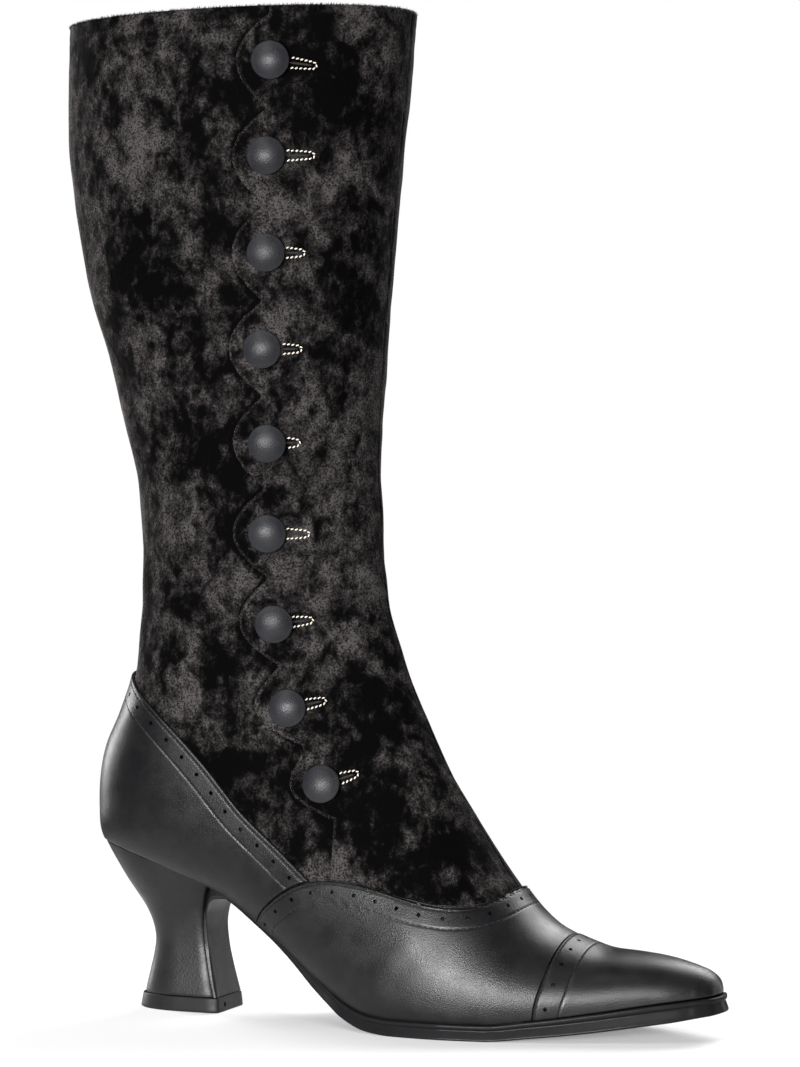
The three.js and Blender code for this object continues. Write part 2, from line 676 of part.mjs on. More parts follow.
// Heel: rings with a round back and a flat breast with small round corners
const belowSeat = across([
  ...sideStations.map((x) => [x, seatLine(x) - gap]),
  [behindHeel, seatLine(heelStations.at(-1)) - gap],
  [behindHeel, underFloor],
  [beyondToe, underFloor],
]);
const backSteps = 12;
const backShare = 0.56; // how much of the heel's depth its round back takes
const backFullness = 0.88; // power of the sine that draws the round back: 1 is an ellipse
const roundBack = Array.from({ length: backSteps + 1 }, (_, i) => {
  const angle = Math.PI * (i / backSteps);
  return { along: backShare * (1 - Math.sin(angle) ** backFullness), side: Math.cos(angle) };
});
const breastCorner = [
  { along: 0.8, side: 1.0 },
  { along: 0.93, side: 0.975 },
  { along: 0.985, side: 0.93 },
  { along: 1, side: 0.86 },
];
const heelSection = [
  ...roundBack,
  ...breastCorner.map(({ along, side }) => ({ along, side: -side })),
  ...[...breastCorner].reverse(),
];
function heelRing(back, front, half, z) {
  return heelSection.map(({ along, side }) => new THREE.Vector3(lerp(back, front, along), side * half, z));
}
const heelSteps = 1.2; // rings for each row of the heel's table
const heelKeys = heelRows.map((row) => row.at * heelHeight).reverse();
const heelCurve = (value) => curveThrough(heelKeys, heelRows.map(value).reverse());
const heelBack = heelCurve((row) => row.back * footLength);
const heelFront = heelCurve((row) => row.front * footLength);
const heelHalf = heelCurve((row) => row.half * seatHalf);
const heelBottom = topPieceThickness + gap;
const heelLevels = Math.round(heelRows.length * heelSteps);
const heelRings = Array.from({ length: heelLevels + 1 }, (_, i) => {
  const z = lerp(heelBottom, heelRows[0].at * heelHeight, i / heelLevels);
  return heelRing(heelBack(z), heelFront(z), heelHalf(z), z);
});
const heel = skinOver(heelRings).intersect(belowSeat);

// The leather on the heel's breast, from the top piece up and forward to the sole's back end
const breastKeys = breastRows.map((row) => row.at * heelHeight);
const breastFront = curveThrough(breastKeys, breastRows.map((row) => row.front * footLength), true);
const breastHalf = curveThrough(breastKeys, breastRows.map((row) => row.half * seatHalf), true);
const straightSteps = 7;
const turnShares = [0.6, 0.625, 0.645, 0.655, 0.661, 0.665, 0.669, 0.72, 0.8]; // of the heel's height
const turnLevels = turnShares.map((share) => share * heelHeight);
const breastLevels = [
  ...Array.from({ length: straightSteps }, (_, i) => lerp(heelBottom, turnLevels[0], i / straightSteps)),
  ...turnLevels,
];
const cornerRound = 1;
const breastRings = breastLevels.map((z) => {
  const back = heelFront(z) + gap;
  const front = breastFront(z);
  const half = breastHalf(z);
  const corner = Math.min(cornerRound, (front - back) / 2);
  return [
    [back, -half], [front - corner, -half], [front, corner - half],
    [front, half - corner], [front - corner, half], [back, half],
  ].map(([x, y]) => new THREE.Vector3(x, y, z));
});
const heelBreast = skinOver(breastRings).intersect(belowSeat);

// The rubber piece under the heel. at is a share of its thickness, and grown how far its back stands
// out there; its front and sides stand out less.
const frontFlare = 0.4;
const sideFlare = 0.5;
const topPieceRows = [
  { at: 0, grown: 1.7 },
  { at: 0.08, grown: 2 },
  { at: 0.85, grown: 1.1 },
  { at: 1, grown: 0.7 },
];
const topPiece = skinOver(
  topPieceRows.map(({ at, grown }) => {
    const back = heelBack(heelBottom) - grown;
    const front = breastFront(heelBottom) + frontFlare * grown;
    return heelRing(back, front, heelHalf(heelBottom) + sideFlare * grown, at * topPieceThickness);
  }),
);

// A button: a low dome with a rolled rim, on a short shank
function buttonGeometry() {
  const radius = buttonDiameter / 2;
  const shank = shankDiameter / 2;
  const rimTop = shankLength + buttonRim;
  const profile = [[0, 0], [shank, 0], [shank, shankLength], [radius, shankLength + buttonRim / 3]];
  for (const angle of [0, Math.PI / 6, Math.PI / 3]) {
    profile.push([(radius - rimRound) * Math.cos(angle), rimTop + buttonDome * Math.sin(angle)]);
  }
  profile.push([0, rimTop + buttonDome]);
  const geometry = new THREE.LatheGeometry(profile.map(([x, y]) => new THREE.Vector2(x, y)), buttonSides);
  geometry.rotateX(Math.PI / 2);
  geometry.deleteAttribute("normal");
  geometry.deleteAttribute("uv");
  return mergeVertices(geometry, 1e-4);
}

// Looks
const velvetLook = new THREE.MeshStandardMaterial({ color: 0x1b181a, roughness: 0.95, metalness: 0 });
const leatherLook = new THREE.MeshStandardMaterial({ color: 0x1c1c1d, roughness: 0.45, metalness: 0 });
const buttonLook = new THREE.MeshStandardMaterial({ color: 0x2b2c2e, roughness: 0.55, metalness: 0 });
const soleLook = new THREE.MeshStandardMaterial({ color: 0x111112, roughness: 0.4, metalness: 0 });
const rubberLook = new THREE.MeshStandardMaterial({ color: 0x141414, roughness: 0.7, metalness: 0 });
const insoleLook = new THREE.MeshStandardMaterial({ color: 0x2a2622, roughness: 0.8, metalness: 0 });

const boot = new THREE.Group();
function addPiece(name, geometry, look) {
  geometry.computeVertexNormals();
  const piece = new THREE.Mesh(geometry, look);
  piece.name = name;
  boot.add(piece);
  return piece;
}
function addSolid(name, solid, look) {
  const mesh = solid.getMesh();
  const geometry = new THREE.BufferGeometry();
  geometry.setAttribute("position", new THREE.BufferAttribute(new Float32Array(mesh.vertProperties), 3));
  geometry.setIndex(new THREE.BufferAttribute(new Uint32Array(mesh.triVerts), 1));
  return addPiece(name, geometry, look);
}

addSolid("upper", upper, velvetLook);
addSolid("vamp", vamp, leatherLook);
addSolid("toe_cap", toeCap, leatherLook);
addSolid("counter", counter, leatherLook);
addSolid("button_flap", buttonFlap, velvetLook);
addSolid("insole", insole, insoleLook);
addSolid("outsole", outsole, soleLook);
addSolid("heel", heel, leatherLook);
addSolid("heel_breast", heelBreast, leatherLook);
addSolid("top_piece", topPiece, rubberLook);
buttonPlaces.forEach(([x, z], i) => {
  const { row, turn } = outerPointAt(x, z);
  const button = addPiece(`button_${i + 1}`, buttonGeometry(), buttonLook);
  button.position.copy(offForm(row, turn, 2 * gap + flapThickness(turn)));
  button.quaternion.setFromUnitVectors(new THREE.Vector3(0, 0, 1), normalAt(row, turn));
});

// The boot stands on the floor with its origin under the middle of its box
const box = new THREE.Box3().setFromObject(boot);
const middle = box.getCenter(new THREE.Vector3());
boot.position.set(-middle.x, -middle.y, -box.min.z);

export default boot;
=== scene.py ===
# The looks of a velvet button boot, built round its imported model. Lengths are millimetres in the boot's
# own frame, unless a name says otherwise: x runs from the back of the heel to the toe, z is the height
# above the floor and y is negative on the outer side, where the buttons are. The pieces follow the same
# form as the solids do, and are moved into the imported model's frame, in metres, when they are made.
import math

import bmesh
import bpy
import numpy as np
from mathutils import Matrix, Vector
from mathutils.kdtree import KDTree


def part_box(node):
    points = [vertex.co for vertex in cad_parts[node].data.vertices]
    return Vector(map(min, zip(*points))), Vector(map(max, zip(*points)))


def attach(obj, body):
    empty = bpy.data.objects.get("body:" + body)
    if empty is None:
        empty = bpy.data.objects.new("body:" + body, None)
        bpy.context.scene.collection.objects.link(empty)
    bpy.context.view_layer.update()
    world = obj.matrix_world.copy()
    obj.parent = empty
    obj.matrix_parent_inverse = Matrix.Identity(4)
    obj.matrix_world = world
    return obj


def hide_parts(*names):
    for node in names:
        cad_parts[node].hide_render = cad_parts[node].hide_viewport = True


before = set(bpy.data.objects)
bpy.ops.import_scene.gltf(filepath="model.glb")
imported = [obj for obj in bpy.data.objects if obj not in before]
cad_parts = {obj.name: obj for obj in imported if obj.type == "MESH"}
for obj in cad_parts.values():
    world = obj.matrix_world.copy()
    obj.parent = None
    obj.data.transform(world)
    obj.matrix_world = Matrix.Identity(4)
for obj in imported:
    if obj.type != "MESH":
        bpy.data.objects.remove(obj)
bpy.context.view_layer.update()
BODY = "root"
PI = math.pi
UP = np.array([0, 0, 1.0])

# Sizes shared with the solids
FOOT_LENGTH = 250.5
HEEL_HEIGHT = 68
ANKLE_HEIGHT = 100
SHAFT_HEIGHT = 319
COLLAR_RISE = 2
INSTEP_HEIGHT = 89
BALL_WIDTH = 76
ANKLE_WIDTH = 62
SHAFT_WIDTH = 88
CALF_SWELL = 32
SHIN_LEAN = 14
TOE_SPRING = 11
SOLE_EDGE = 6.2
SOLE_REACH = 3.4
WALL = 2.2
LEATHER = 1.2
CAP_LEATHER = 1.5
FLAP_VELVET = 1.3
SEAM_VELVET = 0.5
INSOLE_BOARD = 2.5
GAP = 0.3
TUCK = 8
TOP_PIECE = 5.7
ANKLE_FRONT = 0.4575
ANKLE_BACK = 0.073
BUTTON_DIAMETER = 14.5
LOBE_REACH = 13.2
NOTCH_SET_BACK = 0.003


def table(columns, rows):
    """Columns of numbers by name, from one line of text for each row."""
    values = np.array([[float(word) for word in row.split()] for row in rows.strip().splitlines()])
    return dict(zip(columns.split(), values.T))


# The sole line from the side: x as a share of the foot length, the rest as shares of heel, spring and edge
SOLE = table("x heel spring thick reach", """
    -0.02 1.003 0 0.33 0
    0.03 0.978 0 0.33 0
    0.09 0.916 0 0.33 0
    0.142 0.838 0 0.33 0
    0.194 0.756 0 0.33 0
    0.237 0.674 0 0.33 0
    0.29 0.54 0 0.42 0.05
    0.32 0.466 0 0.5 0.1
    0.358 0.36 0 0.66 0.3
    0.4 0.217 0 0.82 0.6
    0.45 0.076 0 0.95 0.88
    0.5 0.012 0 0.99 1
    0.54 0 0 1 1
    0.68 0 0 1 1
    0.75 0 0.17 1.06 1
    0.84 0 0.45 1.16 1
    0.93 0 0.77 1.2 1
    1.02 0 1.04 1 1.1
""")

# Sections of the foot from the toe back, as shares of foot length, instep height and ball width
FOOT = table("top rise under curve outer inner widest crown skirt", """
    0.9995 0.035 0.9995 0.05 0.044 0.042 0.5 2.2 2.4
    0.9955 0.055 0.995 0.05 0.094 0.086 0.5 2.2 2.6
    0.986 0.08 0.984 0.049 0.128 0.112 0.48 2.2 2.8
    0.97 0.104 0.966 0.047 0.158 0.136 0.46 2.2 3
    0.95 0.128 0.945 0.044 0.19 0.164 0.45 2.2 3
    0.921 0.157 0.911 0.04 0.228 0.205 0.43 2.2 3
    0.876 0.192 0.86 0.033 0.28 0.263 0.4 2.15 3
    0.832 0.221 0.809 0.026 0.33 0.32 0.38 2.1 3
    0.807 0.25 0.769 0.021 0.366 0.362 0.36 2.05 3
    0.776 0.294 0.726 0.017 0.403 0.402 0.34 2 3
    0.745 0.347 0.682 0.013 0.439 0.437 0.32 2 3
    0.712 0.436 0.627 0.009 0.471 0.464 0.3 2 3
    0.6775 0.565 0.56 0.006 0.49 0.467 0.3 2 3
    0.6435 0.705 0.489 0.003 0.485 0.438 0.32 2 2.9
    0.6115 0.846 0.41 0.001 0.448 0.398 0.34 2 2.8
    0.5775 1 0.316 0 0.408 0.37 0.36 2 2.7
""")

# Sections through the heel and ankle, as shares of foot length, ankle height and ankle width
ANKLE = table("front front_rise back back_rise half widest crown skirt", """
    0.548 0.42 0.205 -0.217 0.468 0.38 2 2.6
    0.525 0.545 0.1 -0.14 0.472 0.38 2 2.5
    0.509 0.641 0.03 -0.077 0.474 0.38 2 2.4
    0.496 0.73 0.0055 0 0.475 0.38 2 2.3
    0.484 0.82 0.0005 0.105 0.479 0.39 2 2.25
    0.474 0.909 0.002 0.22 0.485 0.4 2 2.2
    0.4675 1.021 0.012 0.341 0.493 0.42 2 2.15
    0.463 1.13 0.034 0.462 0.504 0.43 2 2.1
    0.4615 1.25 0.056 0.6 0.515 0.44 2 2.1
""")

# Sections of the leg, as shares of the shin's lean, the calf's swell and the way up and out to the collar
LEG = table("shin front_rise calf back_rise wide widest crown skirt", """
    0 0.195 0.06 -0.1 0.14 0.46 2 2.1
    0.03 0.275 0 0.01 0.26 0.48 2 2.1
    0.12 0.371 0.045 0.147 0.4 0.49 2.05 2.1
    0.265 0.502 0.33 0.33 0.57 0.5 2.1 2.1
    0.46 0.639 0.705 0.521 0.755 0.5 2.1 2.1
    0.69 0.786 0.975 0.73 0.885 0.5 2.1 2.1
    0.905 0.913 1 0.891 0.97 0.5 2.1 2.1
    1 1 0.975 1 1 0.5 2.1 2.1
    1.09 1.07 0.95 1.07 1.02 0.5 2.1 2.1
""")

# Edges of the leather from the side: x as a share of the foot length, up as a share of the instep
# height above the sole line, or of the ankle height for the counter
VAMP_TOP = table("x up", """
    0.27 -0.15
    0.298 0.006
    0.325 0.129
    0.364 0.282
    0.399 0.403
    0.434 0.487
    0.468 0.526
    0.511 0.53
    0.5535 0.502
    0.593 0.476
    0.63 0.464
    0.66 0.472
    0.6825 0.5045
    0.698 0.55
    0.71 0.62
""")
COUNTER_TOP = table("x up", """
    -0.1 0.7
    0.055 0.685
    0.086 0.659
    0.135 0.61
    0.18 0.55
    0.22 0.49
    0.283 0.405
    0.3535 0.365
    0.42 0.36
""")
TOE_CAP = table("x up", """
    0.75 -0.15
    0.757 0.07
    0.764 0.14
    0.7705 0.23
    0.774 0.31
    0.775 0.5
""")

# Buttons, as shares of the foot length and of the shaft height above the back of the heel, and the reach
# of each buttonhole's stitches ahead of its button, with their rise there
BUTTONS = table("forward up reach rise", """
    0.352 0.936 15.8 -2.2
    0.343 0.824 16.5 0.2
    0.34 0.71 13.3 -0.1
    0.3315 0.596 13.6 0.1
    0.334 0.4845 11.2 0.3
    0.329 0.377 14.5 -0.3
    0.334 0.269 13.8 1.3
    0.354 0.167 14.1 3.0
    0.413 0.077 13.3 4.4
""")
FLAP_CORNER = (0.436, 0.035)

# The heel from its seat down: at is a share of the heel height, back and front shares of the foot length
# and half a share of the seat's half width
HEEL = table("at back front half", """
    0 0.0605 0.2065 0.6
    0.14 0.069 0.197 0.563
    0.22 0.0745 0.192 0.53
    0.31 0.0805 0.187 0.502
    0.4 0.084 0.183 0.497
    0.5 0.079 0.181 0.53
    0.59 0.0675 0.183 0.6
    0.67 0.0525 0.1885 0.71
    0.737 0.0395 0.197 0.81
    0.82 0.0245 0.21 0.9
    0.905 0.0095 0.221 0.955
    0.955 0.0015 0.226 0.98
    1 -0.005 0.231 0.995
    1.04 -0.008 0.235 1
""")
BREAST = table("at front half", """
    0 0.2125 0.59
    0.14 0.2045 0.555
    0.229 0.199 0.52
    0.357 0.192 0.488
    0.487 0.1875 0.5
    0.56 0.1885 0.545
    0.615 0.193 0.61
    0.65 0.201 0.68
    0.664 0.211 0.74
    0.669 0.237 0.82
    0.8 0.237 0.86
""")
SOLE_START = 0.237


# Curves
class Curve:
    """A smooth curve through the given values. A steady one never overshoots them."""

    def __init__(self, keys, values, steady=False):
        self.keys = np.array(keys, float)
        self.values = np.array(values, float)
        self.spans = np.diff(self.keys)
        rises = np.diff(self.values) / self.spans
        slopes = np.empty(len(self.keys))
        slopes[0], slopes[-1] = rises[0], rises[-1]
        before, after = rises[:-1], rises[1:]
        if steady:
            same = before * after > 0
            total = np.where(same, before + after, 1)
            slopes[1:-1] = np.where(same, 2 * before * after / total, 0)
        else:
            spans = self.spans
            slopes[1:-1] = (spans[1:] * before + spans[:-1] * after) / (spans[1:] + spans[:-1])
        self.slopes = slopes

    def __call__(self, at):
        at = np.asarray(at, float)
        i = np.clip(np.searchsorted(self.keys, at, "right") - 1, 0, len(self.spans) - 1)
        span = self.spans[i]
        t = (at - self.keys[i]) / span
        near = (1 + 2 * t) * (1 - t) ** 2 * self.values[i] + t * (1 - t) ** 2 * span * self.slopes[i]
        far = t * t * (3 - 2 * t) * self.values[i + 1] + t * t * (t - 1) * span * self.slopes[i + 1]
        inside = near + far
        before = self.values[0] + self.slopes[0] * (at - self.keys[0])
        after = self.values[-1] + self.slopes[-1] * (at - self.keys[-1])
        return np.where(at <= self.keys[0], before, np.where(at >= self.keys[-1], after, inside))


def lerp(a, b, t):
    return a + (b - a) * t


def smoothstep(x, low, high):
    t = np.clip((x - low) / (high - low), 0, 1)
    return t * t * (3 - 2 * t)


def hump(x, width, at=0.0):
    """A smooth bump of height 1 round a place."""
    return np.exp(-(((x - at) / width) ** 2))


def solve(value, low, high, steps=44):
    """Where value(at) falls from positive to negative, between low and high."""
    for _ in range(steps):
        middle = (low + high) / 2
        positive = value(middle) > 0
        low = np.where(positive, middle, low)
        high = np.where(positive, high, middle)
    return (low + high) / 2


sole_x = SOLE["x"] * FOOT_LENGTH
seat_heights = SOLE_EDGE + SOLE["heel"] * (HEEL_HEIGHT - SOLE_EDGE) + SOLE["spring"] * TOE_SPRING
seat_line = Curve(sole_x, seat_heights, True)
sole_thickness = Curve(sole_x, SOLE["thick"] * SOLE_EDGE, True)
sole_overhang = Curve(sole_x, SOLE["reach"] * SOLE_REACH, True)
shin_at_collar = ANKLE_FRONT * FOOT_LENGTH + SHIN_LEAN
calf_at_collar = ANKLE_BACK * FOOT_LENGTH - CALF_SWELL


def collar_line(x):
    forward = (x - calf_at_collar) / (shin_at_collar - calf_at_collar) - 0.5
    return HEEL_HEIGHT + SHAFT_HEIGHT + forward * COLLAR_RISE


# The boot's form
def form_sections():
    foot_x = FOOT["top"] * FOOT_LENGTH
    under_x = FOOT["under"] * FOOT_LENGTH
    leg_half = lerp(ANKLE_WIDTH, SHAFT_WIDTH, LEG["wide"]) / 2
    parts = {
        "top_x": (foot_x, ANKLE["front"] * FOOT_LENGTH, ANKLE_FRONT * FOOT_LENGTH + LEG["shin"] * SHIN_LEAN),
        "top_z": (
            seat_line(foot_x) + FOOT["rise"] * INSTEP_HEIGHT,
            HEEL_HEIGHT + ANKLE["front_rise"] * ANKLE_HEIGHT,
            HEEL_HEIGHT + lerp(ANKLE_HEIGHT, SHAFT_HEIGHT, LEG["front_rise"]),
        ),
        "under_x": (
            under_x,
            ANKLE["back"] * FOOT_LENGTH,
            ANKLE_BACK * FOOT_LENGTH - LEG["calf"] * CALF_SWELL,
        ),
        "under_z": (
            seat_line(under_x) - TUCK,
            HEEL_HEIGHT + ANKLE["back_rise"] * ANKLE_HEIGHT,
            HEEL_HEIGHT + lerp(ANKLE_HEIGHT, SHAFT_HEIGHT, LEG["back_rise"]),
        ),
        "middle": (FOOT["curve"] * BALL_WIDTH, 0 * ANKLE["half"], 0 * LEG["wide"]),
        "outer": (FOOT["outer"] * BALL_WIDTH, ANKLE["half"] * ANKLE_WIDTH, leg_half),
        "inner": (FOOT["inner"] * BALL_WIDTH, ANKLE["half"] * ANKLE_WIDTH, leg_half),
    }
    for name in ("widest", "crown", "skirt"):
        parts[name] = (FOOT[name], ANKLE[name], LEG[name])
    return {name: np.concatenate(values) for name, values in parts.items()}


sections = form_sections()
LAST_ROW = len(sections["top_x"]) - 1
FIRST_LEG_ROW = len(FOOT["top"]) + len(ANKLE["front"])
top_steps = np.hypot(np.diff(sections["top_x"]), np.diff(sections["top_z"]))
under_steps = np.hypot(np.diff(sections["under_x"]), np.diff(sections["under_z"]))
section_keys = np.concatenate([[0], np.cumsum((top_steps + under_steps) / 2)])
section_curves = {name: Curve(section_keys, values) for name, values in sections.items()}
TIP_BULGE = 0.4
TIP = np.array([
    sections["top_x"][0],
    sections["middle"][0],
    float(seat_line(sections["top_x"][0])),
])


def key_at(row):
    """The distance along the form at which a row stands."""
    return np.interp(row, np.arange(LAST_ROW + 1), section_keys)


def on_form(row, turn):
    """Points of the form. turn is 0 on the ridge and the shin, a quarter turn on the outer side and half
    a turn under the sole and up the back. Rows from 0 down to -1 close the tip of the toe."""
    row, turn = np.broadcast_arrays(np.asarray(row, float), np.asarray(turn, float))
    key = key_at(row)
    s = {name: curve(key) for name, curve in section_curves.items()}
    forward, sideways = np.cos(turn), np.sin(turn)
    power = np.where(forward >= 0, s["crown"], s["skirt"])
    reach = (np.abs(forward) ** power + np.abs(sideways) ** power) ** (-1 / power)
    room = np.where(forward >= 0, 1 - s["widest"], s["widest"])
    along = s["widest"] + forward * reach * room
    half = np.where(sideways >= 0, s["outer"], s["inner"])
    points = np.stack([
        lerp(s["under_x"], s["top_x"], along),
        s["middle"] - sideways * reach * half,
        lerp(s["under_z"], s["top_z"], along),
    ], axis=-1)
    left = np.clip(1 + row, 0, 1)[..., None]
    points = TIP + (points - TIP) * left
    points[..., 0] += TIP_BULGE * (1 - left[..., 0] ** 2)
    return points


def normal_at(row, turn):
    step = 0.01
    row = np.maximum(row, -0.9)
    ahead = on_form(np.minimum(row + step, LAST_ROW), turn) - on_form(row - step, turn)
    around = on_form(row, turn + step) - on_form(row, turn - step)
    normals = np.cross(ahead, around)
    return normals / np.linalg.norm(normals, axis=-1, keepdims=True)


def off_form(row, turn, distance):
    return on_form(row, turn) + normal_at(row, turn) * np.asarray(distance, float)[..., None]


def crossing(row, side=1):
    """The turn where a section meets the sole line, on the outer side (1) or the inner side (-1)."""

    def above(turn):
        points = on_form(row, side * turn)
        return points[..., 2] - seat_line(points[..., 0])

    return side * solve(above, 0, PI)


def under_height(row):
    points = on_form(row, PI)
    return points[..., 2] - seat_line(points[..., 0])


# The row whose under point lies on the sole line, at the back of the heel
BACK_ROW = float(solve(lambda row: -under_height(row), 14.0, 22.0))


def surface_spots(x, z, inner=False):
    """Rows and turns of the points of the form with these x and z, on the outer or the inner side."""
    x, z = np.asarray(x, float), np.asarray(z, float)
    side = -1 if inner else 1
    row = np.full(x.shape, float(FIRST_LEG_ROW))
    turn = np.full(x.shape, PI / 2)
    step = 0.001
    for _ in range(60):
        here = on_form(row, side * turn)
        by_row = (on_form(row + step, side * turn) - here) / step
        by_turn = (on_form(row, side * (turn + step)) - here) / step
        size = by_row[..., 0] * by_turn[..., 2] - by_row[..., 2] * by_turn[..., 0]
        miss_x, miss_z = x - here[..., 0], z - here[..., 2]
        row_step = (miss_x * by_turn[..., 2] - miss_z * by_turn[..., 0]) / size
        turn_step = (by_row[..., 0] * miss_z - by_row[..., 2] * miss_x) / size
        row = np.clip(row + np.clip(row_step, -1, 1), 1, LAST_ROW - 0.5)
        turn = np.clip(turn + np.clip(turn_step, -0.2, 0.2), 0.1, 3)
    return np.stack([row, side * turn], axis=-1)


def running_length(points):
    """How far along a line each of its points is."""
    steps = np.linalg.norm(np.diff(points, axis=0), axis=1)
    return np.concatenate([[0], np.cumsum(steps)])


def resampled(line, along, wanted):
    """A line whose points are at the lengths along, given at the wanted lengths."""
    return np.stack([np.interp(wanted, along, column) for column in line.T], axis=-1)


# Lines on the form, as arrays of rows and turns
def spots(row, turn):
    return np.stack(np.broadcast_arrays(row, turn), axis=-1).astype(float)


def lengths_along(path):
    return running_length(on_form(*path.T))


def at_lengths(path, wanted):
    return resampled(path, lengths_along(path), wanted)


# The most of a line's length that the extra places at one of its ends may take
END_SHARE = 0.46


def spaced(total, count, near_start=(0,), near_end=(0,)):
    """Distances from 0 to total: the given ones at the two ends and even ones between them."""
    ends = []
    for near in (near_start, near_end):
        near = np.array(near, float)
        if near[-1] > total * END_SHARE:
            near = near * total * END_SHARE / near[-1]
        ends.append(near)
    start, end = ends
    middle = np.linspace(start[-1], total - end[-1], count - len(start) - len(end) + 2)
    return np.concatenate([start[:-1], middle, total - end[:-1][::-1]])


def evenly(path, count, close=(0,)):
    """The path at count places, evenly but for extra ones at these distances from both ends."""
    return at_lengths(path, spaced(lengths_along(path)[-1], count, close, close))


def coons(left, right, top, bottom):
    """A patch of rows and turns between four lines. top and bottom run from left to right, and left and
    right from top to bottom."""
    u = np.linspace(0, 1, len(top))[:, None, None]
    v = np.linspace(0, 1, len(left))[None, :, None]
    sides = (1 - u) * left[None] + u * right[None]
    ends = (1 - v) * top[:, None] + v * bottom[:, None]
    corners = (
        (1 - u) * (1 - v) * top[0] + u * (1 - v) * top[-1] + (1 - u) * v * bottom[0] + u * v * bottom[-1]
    )
    return sides + ends - corners


def spread_rows(patch, count, near_start=(0,), near_end=(0,)):
    """The patch with each of its lines from top to bottom spaced again, in millimetres."""
    return np.stack([
        at_lengths(line, spaced(lengths_along(line)[-1], count, near_start, near_end)) for line in patch])


def joined(*paths):
    """Lines end to end, without the doubled points."""
    return np.concatenate([paths[0]] + [path[1:] for path in paths[1:]])


class Nearest:
    """Distances to a set of points."""

    def __init__(self, points):
        points = np.asarray(points).reshape(-1, 3)
        self.tree = KDTree(len(points))
        for i, point in enumerate(points):
            self.tree.insert(point, i)
        self.tree.balance()

    def __call__(self, points):
        flat = points.reshape(-1, 3)
        found = [self.tree.find(point)[2] for point in flat]
        return np.array(found).reshape(points.shape[:-1])


def dense(path, step=0.15):
    """Points close together along a line, where the pieces begin above the form."""
    total = lengths_along(path)[-1]
    fine = at_lengths(path, np.linspace(0, total, int(total / step) + 2))
    return off_form(*fine.T, GAP)


# Large numbers that mix a cell's place into one number
CELL_MIX = np.array([73856093, 19349663, 83492791])


def noise(points, size, seed):
    """Smooth noise from -1 to 1, with lumps about size millimetres across."""
    values = np.random.RandomState(seed).rand(4096) * 2 - 1
    cell = points / size
    base = np.floor(cell).astype(np.int64)
    part = cell - base
    part = part * part * (3 - 2 * part)
    total = np.zeros(points.shape[:-1])
    for corner in range(8):
        offset = np.array([corner & 1, corner >> 1 & 1, corner >> 2 & 1])
        mixed = np.bitwise_xor.reduce((base + offset) * CELL_MIX, axis=-1)
        weight = np.prod(np.where(offset, part, 1 - part), axis=-1)
        total += weight * values[mixed & 4095]
    return total


# From the boot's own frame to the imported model's: the upper's toe and the middle of its leg are known
upper_low, upper_high = (np.array(corner) * 1000 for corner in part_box("upper"))
SHIFT = np.array([
    upper_high[0] - sections["top_x"][0],
    (upper_low[1] + upper_high[1]) / 2,
    0,
])


def to_metres(points):
    return (np.asarray(points) + SHIFT) * 0.001


# Meshes
def grid_faces(ids):
    a, b, c, d = ids[:-1, :-1], ids[1:, :-1], ids[1:, 1:], ids[:-1, 1:]
    return np.stack([a, b, c, d], axis=-1).reshape(-1, 4)


def strips(left, right, count):
    """Rows of points that run straight across, from one line to another."""
    return lerp(left[:, None], right[:, None], np.linspace(0, 1, count)[:, None])


def circle(centre, radius, side, other, count):
    """Points round a centre, from side towards other."""
    angles = (np.arange(count) / count * 2 * PI)[:, None]
    return centre + radius * (side * np.cos(angles) + other * np.sin(angles))


def plane_across(normal, side):
    """Two unit vectors across a normal, the first of them along side."""
    side = side / np.linalg.norm(side)
    return side, np.cross(normal, side)


def add_piece(name, points, faces, looks, face_looks=None, masks=None, sharp=40, weld=0.004):
    """A closed mesh from points in millimetres, welded, with its faces pointing out."""
    mesh = bpy.data.meshes.new(name)
    mesh.from_pydata(to_metres(points).tolist(), [], [list(map(int, face)) for face in faces])
    if face_looks is not None:
        mesh.polygons.foreach_set("material_index", np.asarray(face_looks, np.int32))
    for mask, values in (masks or {}).items():
        attribute = mesh.attributes.new(mask, "FLOAT", "POINT")
        attribute.data.foreach_set("value", np.asarray(values, np.float32))
    shaped = bmesh.new()
    shaped.from_mesh(mesh)
    if weld:
        bmesh.ops.remove_doubles(shaped, verts=shaped.verts, dist=weld * 0.001)
        bmesh.ops.dissolve_degenerate(shaped, edges=shaped.edges, dist=weld * 0.0005)
    bmesh.ops.recalc_face_normals(shaped, faces=shaped.faces)
    shaped.to_mesh(mesh)
    shaped.free()
    for look in looks:
        mesh.materials.append(look)
    piece = bpy.data.objects.new(name, mesh)
    bpy.context.scene.collection.objects.link(piece)
    finish_shading(mesh, sharp)
    return piece


def finish_shading(mesh, sharp):
    mesh.polygons.foreach_set("use_smooth", np.ones(len(mesh.polygons), bool))
    mesh.set_sharp_from_angle(angle=math.radians(sharp))
    mesh.update()


def add_shell(name, outer, inner, looks, masks=None, pole=False, sharp=40):
    """A closed shell of two patches that share their border. With a pole, the last points of all the
    lines meet in one point of each patch."""
    count = outer.shape[0] * outer.shape[1]
    outer_ids = np.arange(count).reshape(outer.shape[:2])
    inside = np.zeros(outer.shape[:2], bool)
    inside[1:-1, 1:None if pole else -1] = True
    inner_ids = outer_ids.copy()
    inner_ids[inside] = count + np.arange(inside.sum())
    points = np.concatenate([outer.reshape(-1, 3), inner[inside]])
    faces = np.concatenate([grid_faces(outer_ids), grid_faces(inner_ids)[:, ::-1]])
    if masks:
        masks = {mask: np.concatenate([v.reshape(-1), v[inside]]) for mask, v in masks.items()}
    return add_piece(name, points, faces, looks, masks=masks, sharp=sharp)


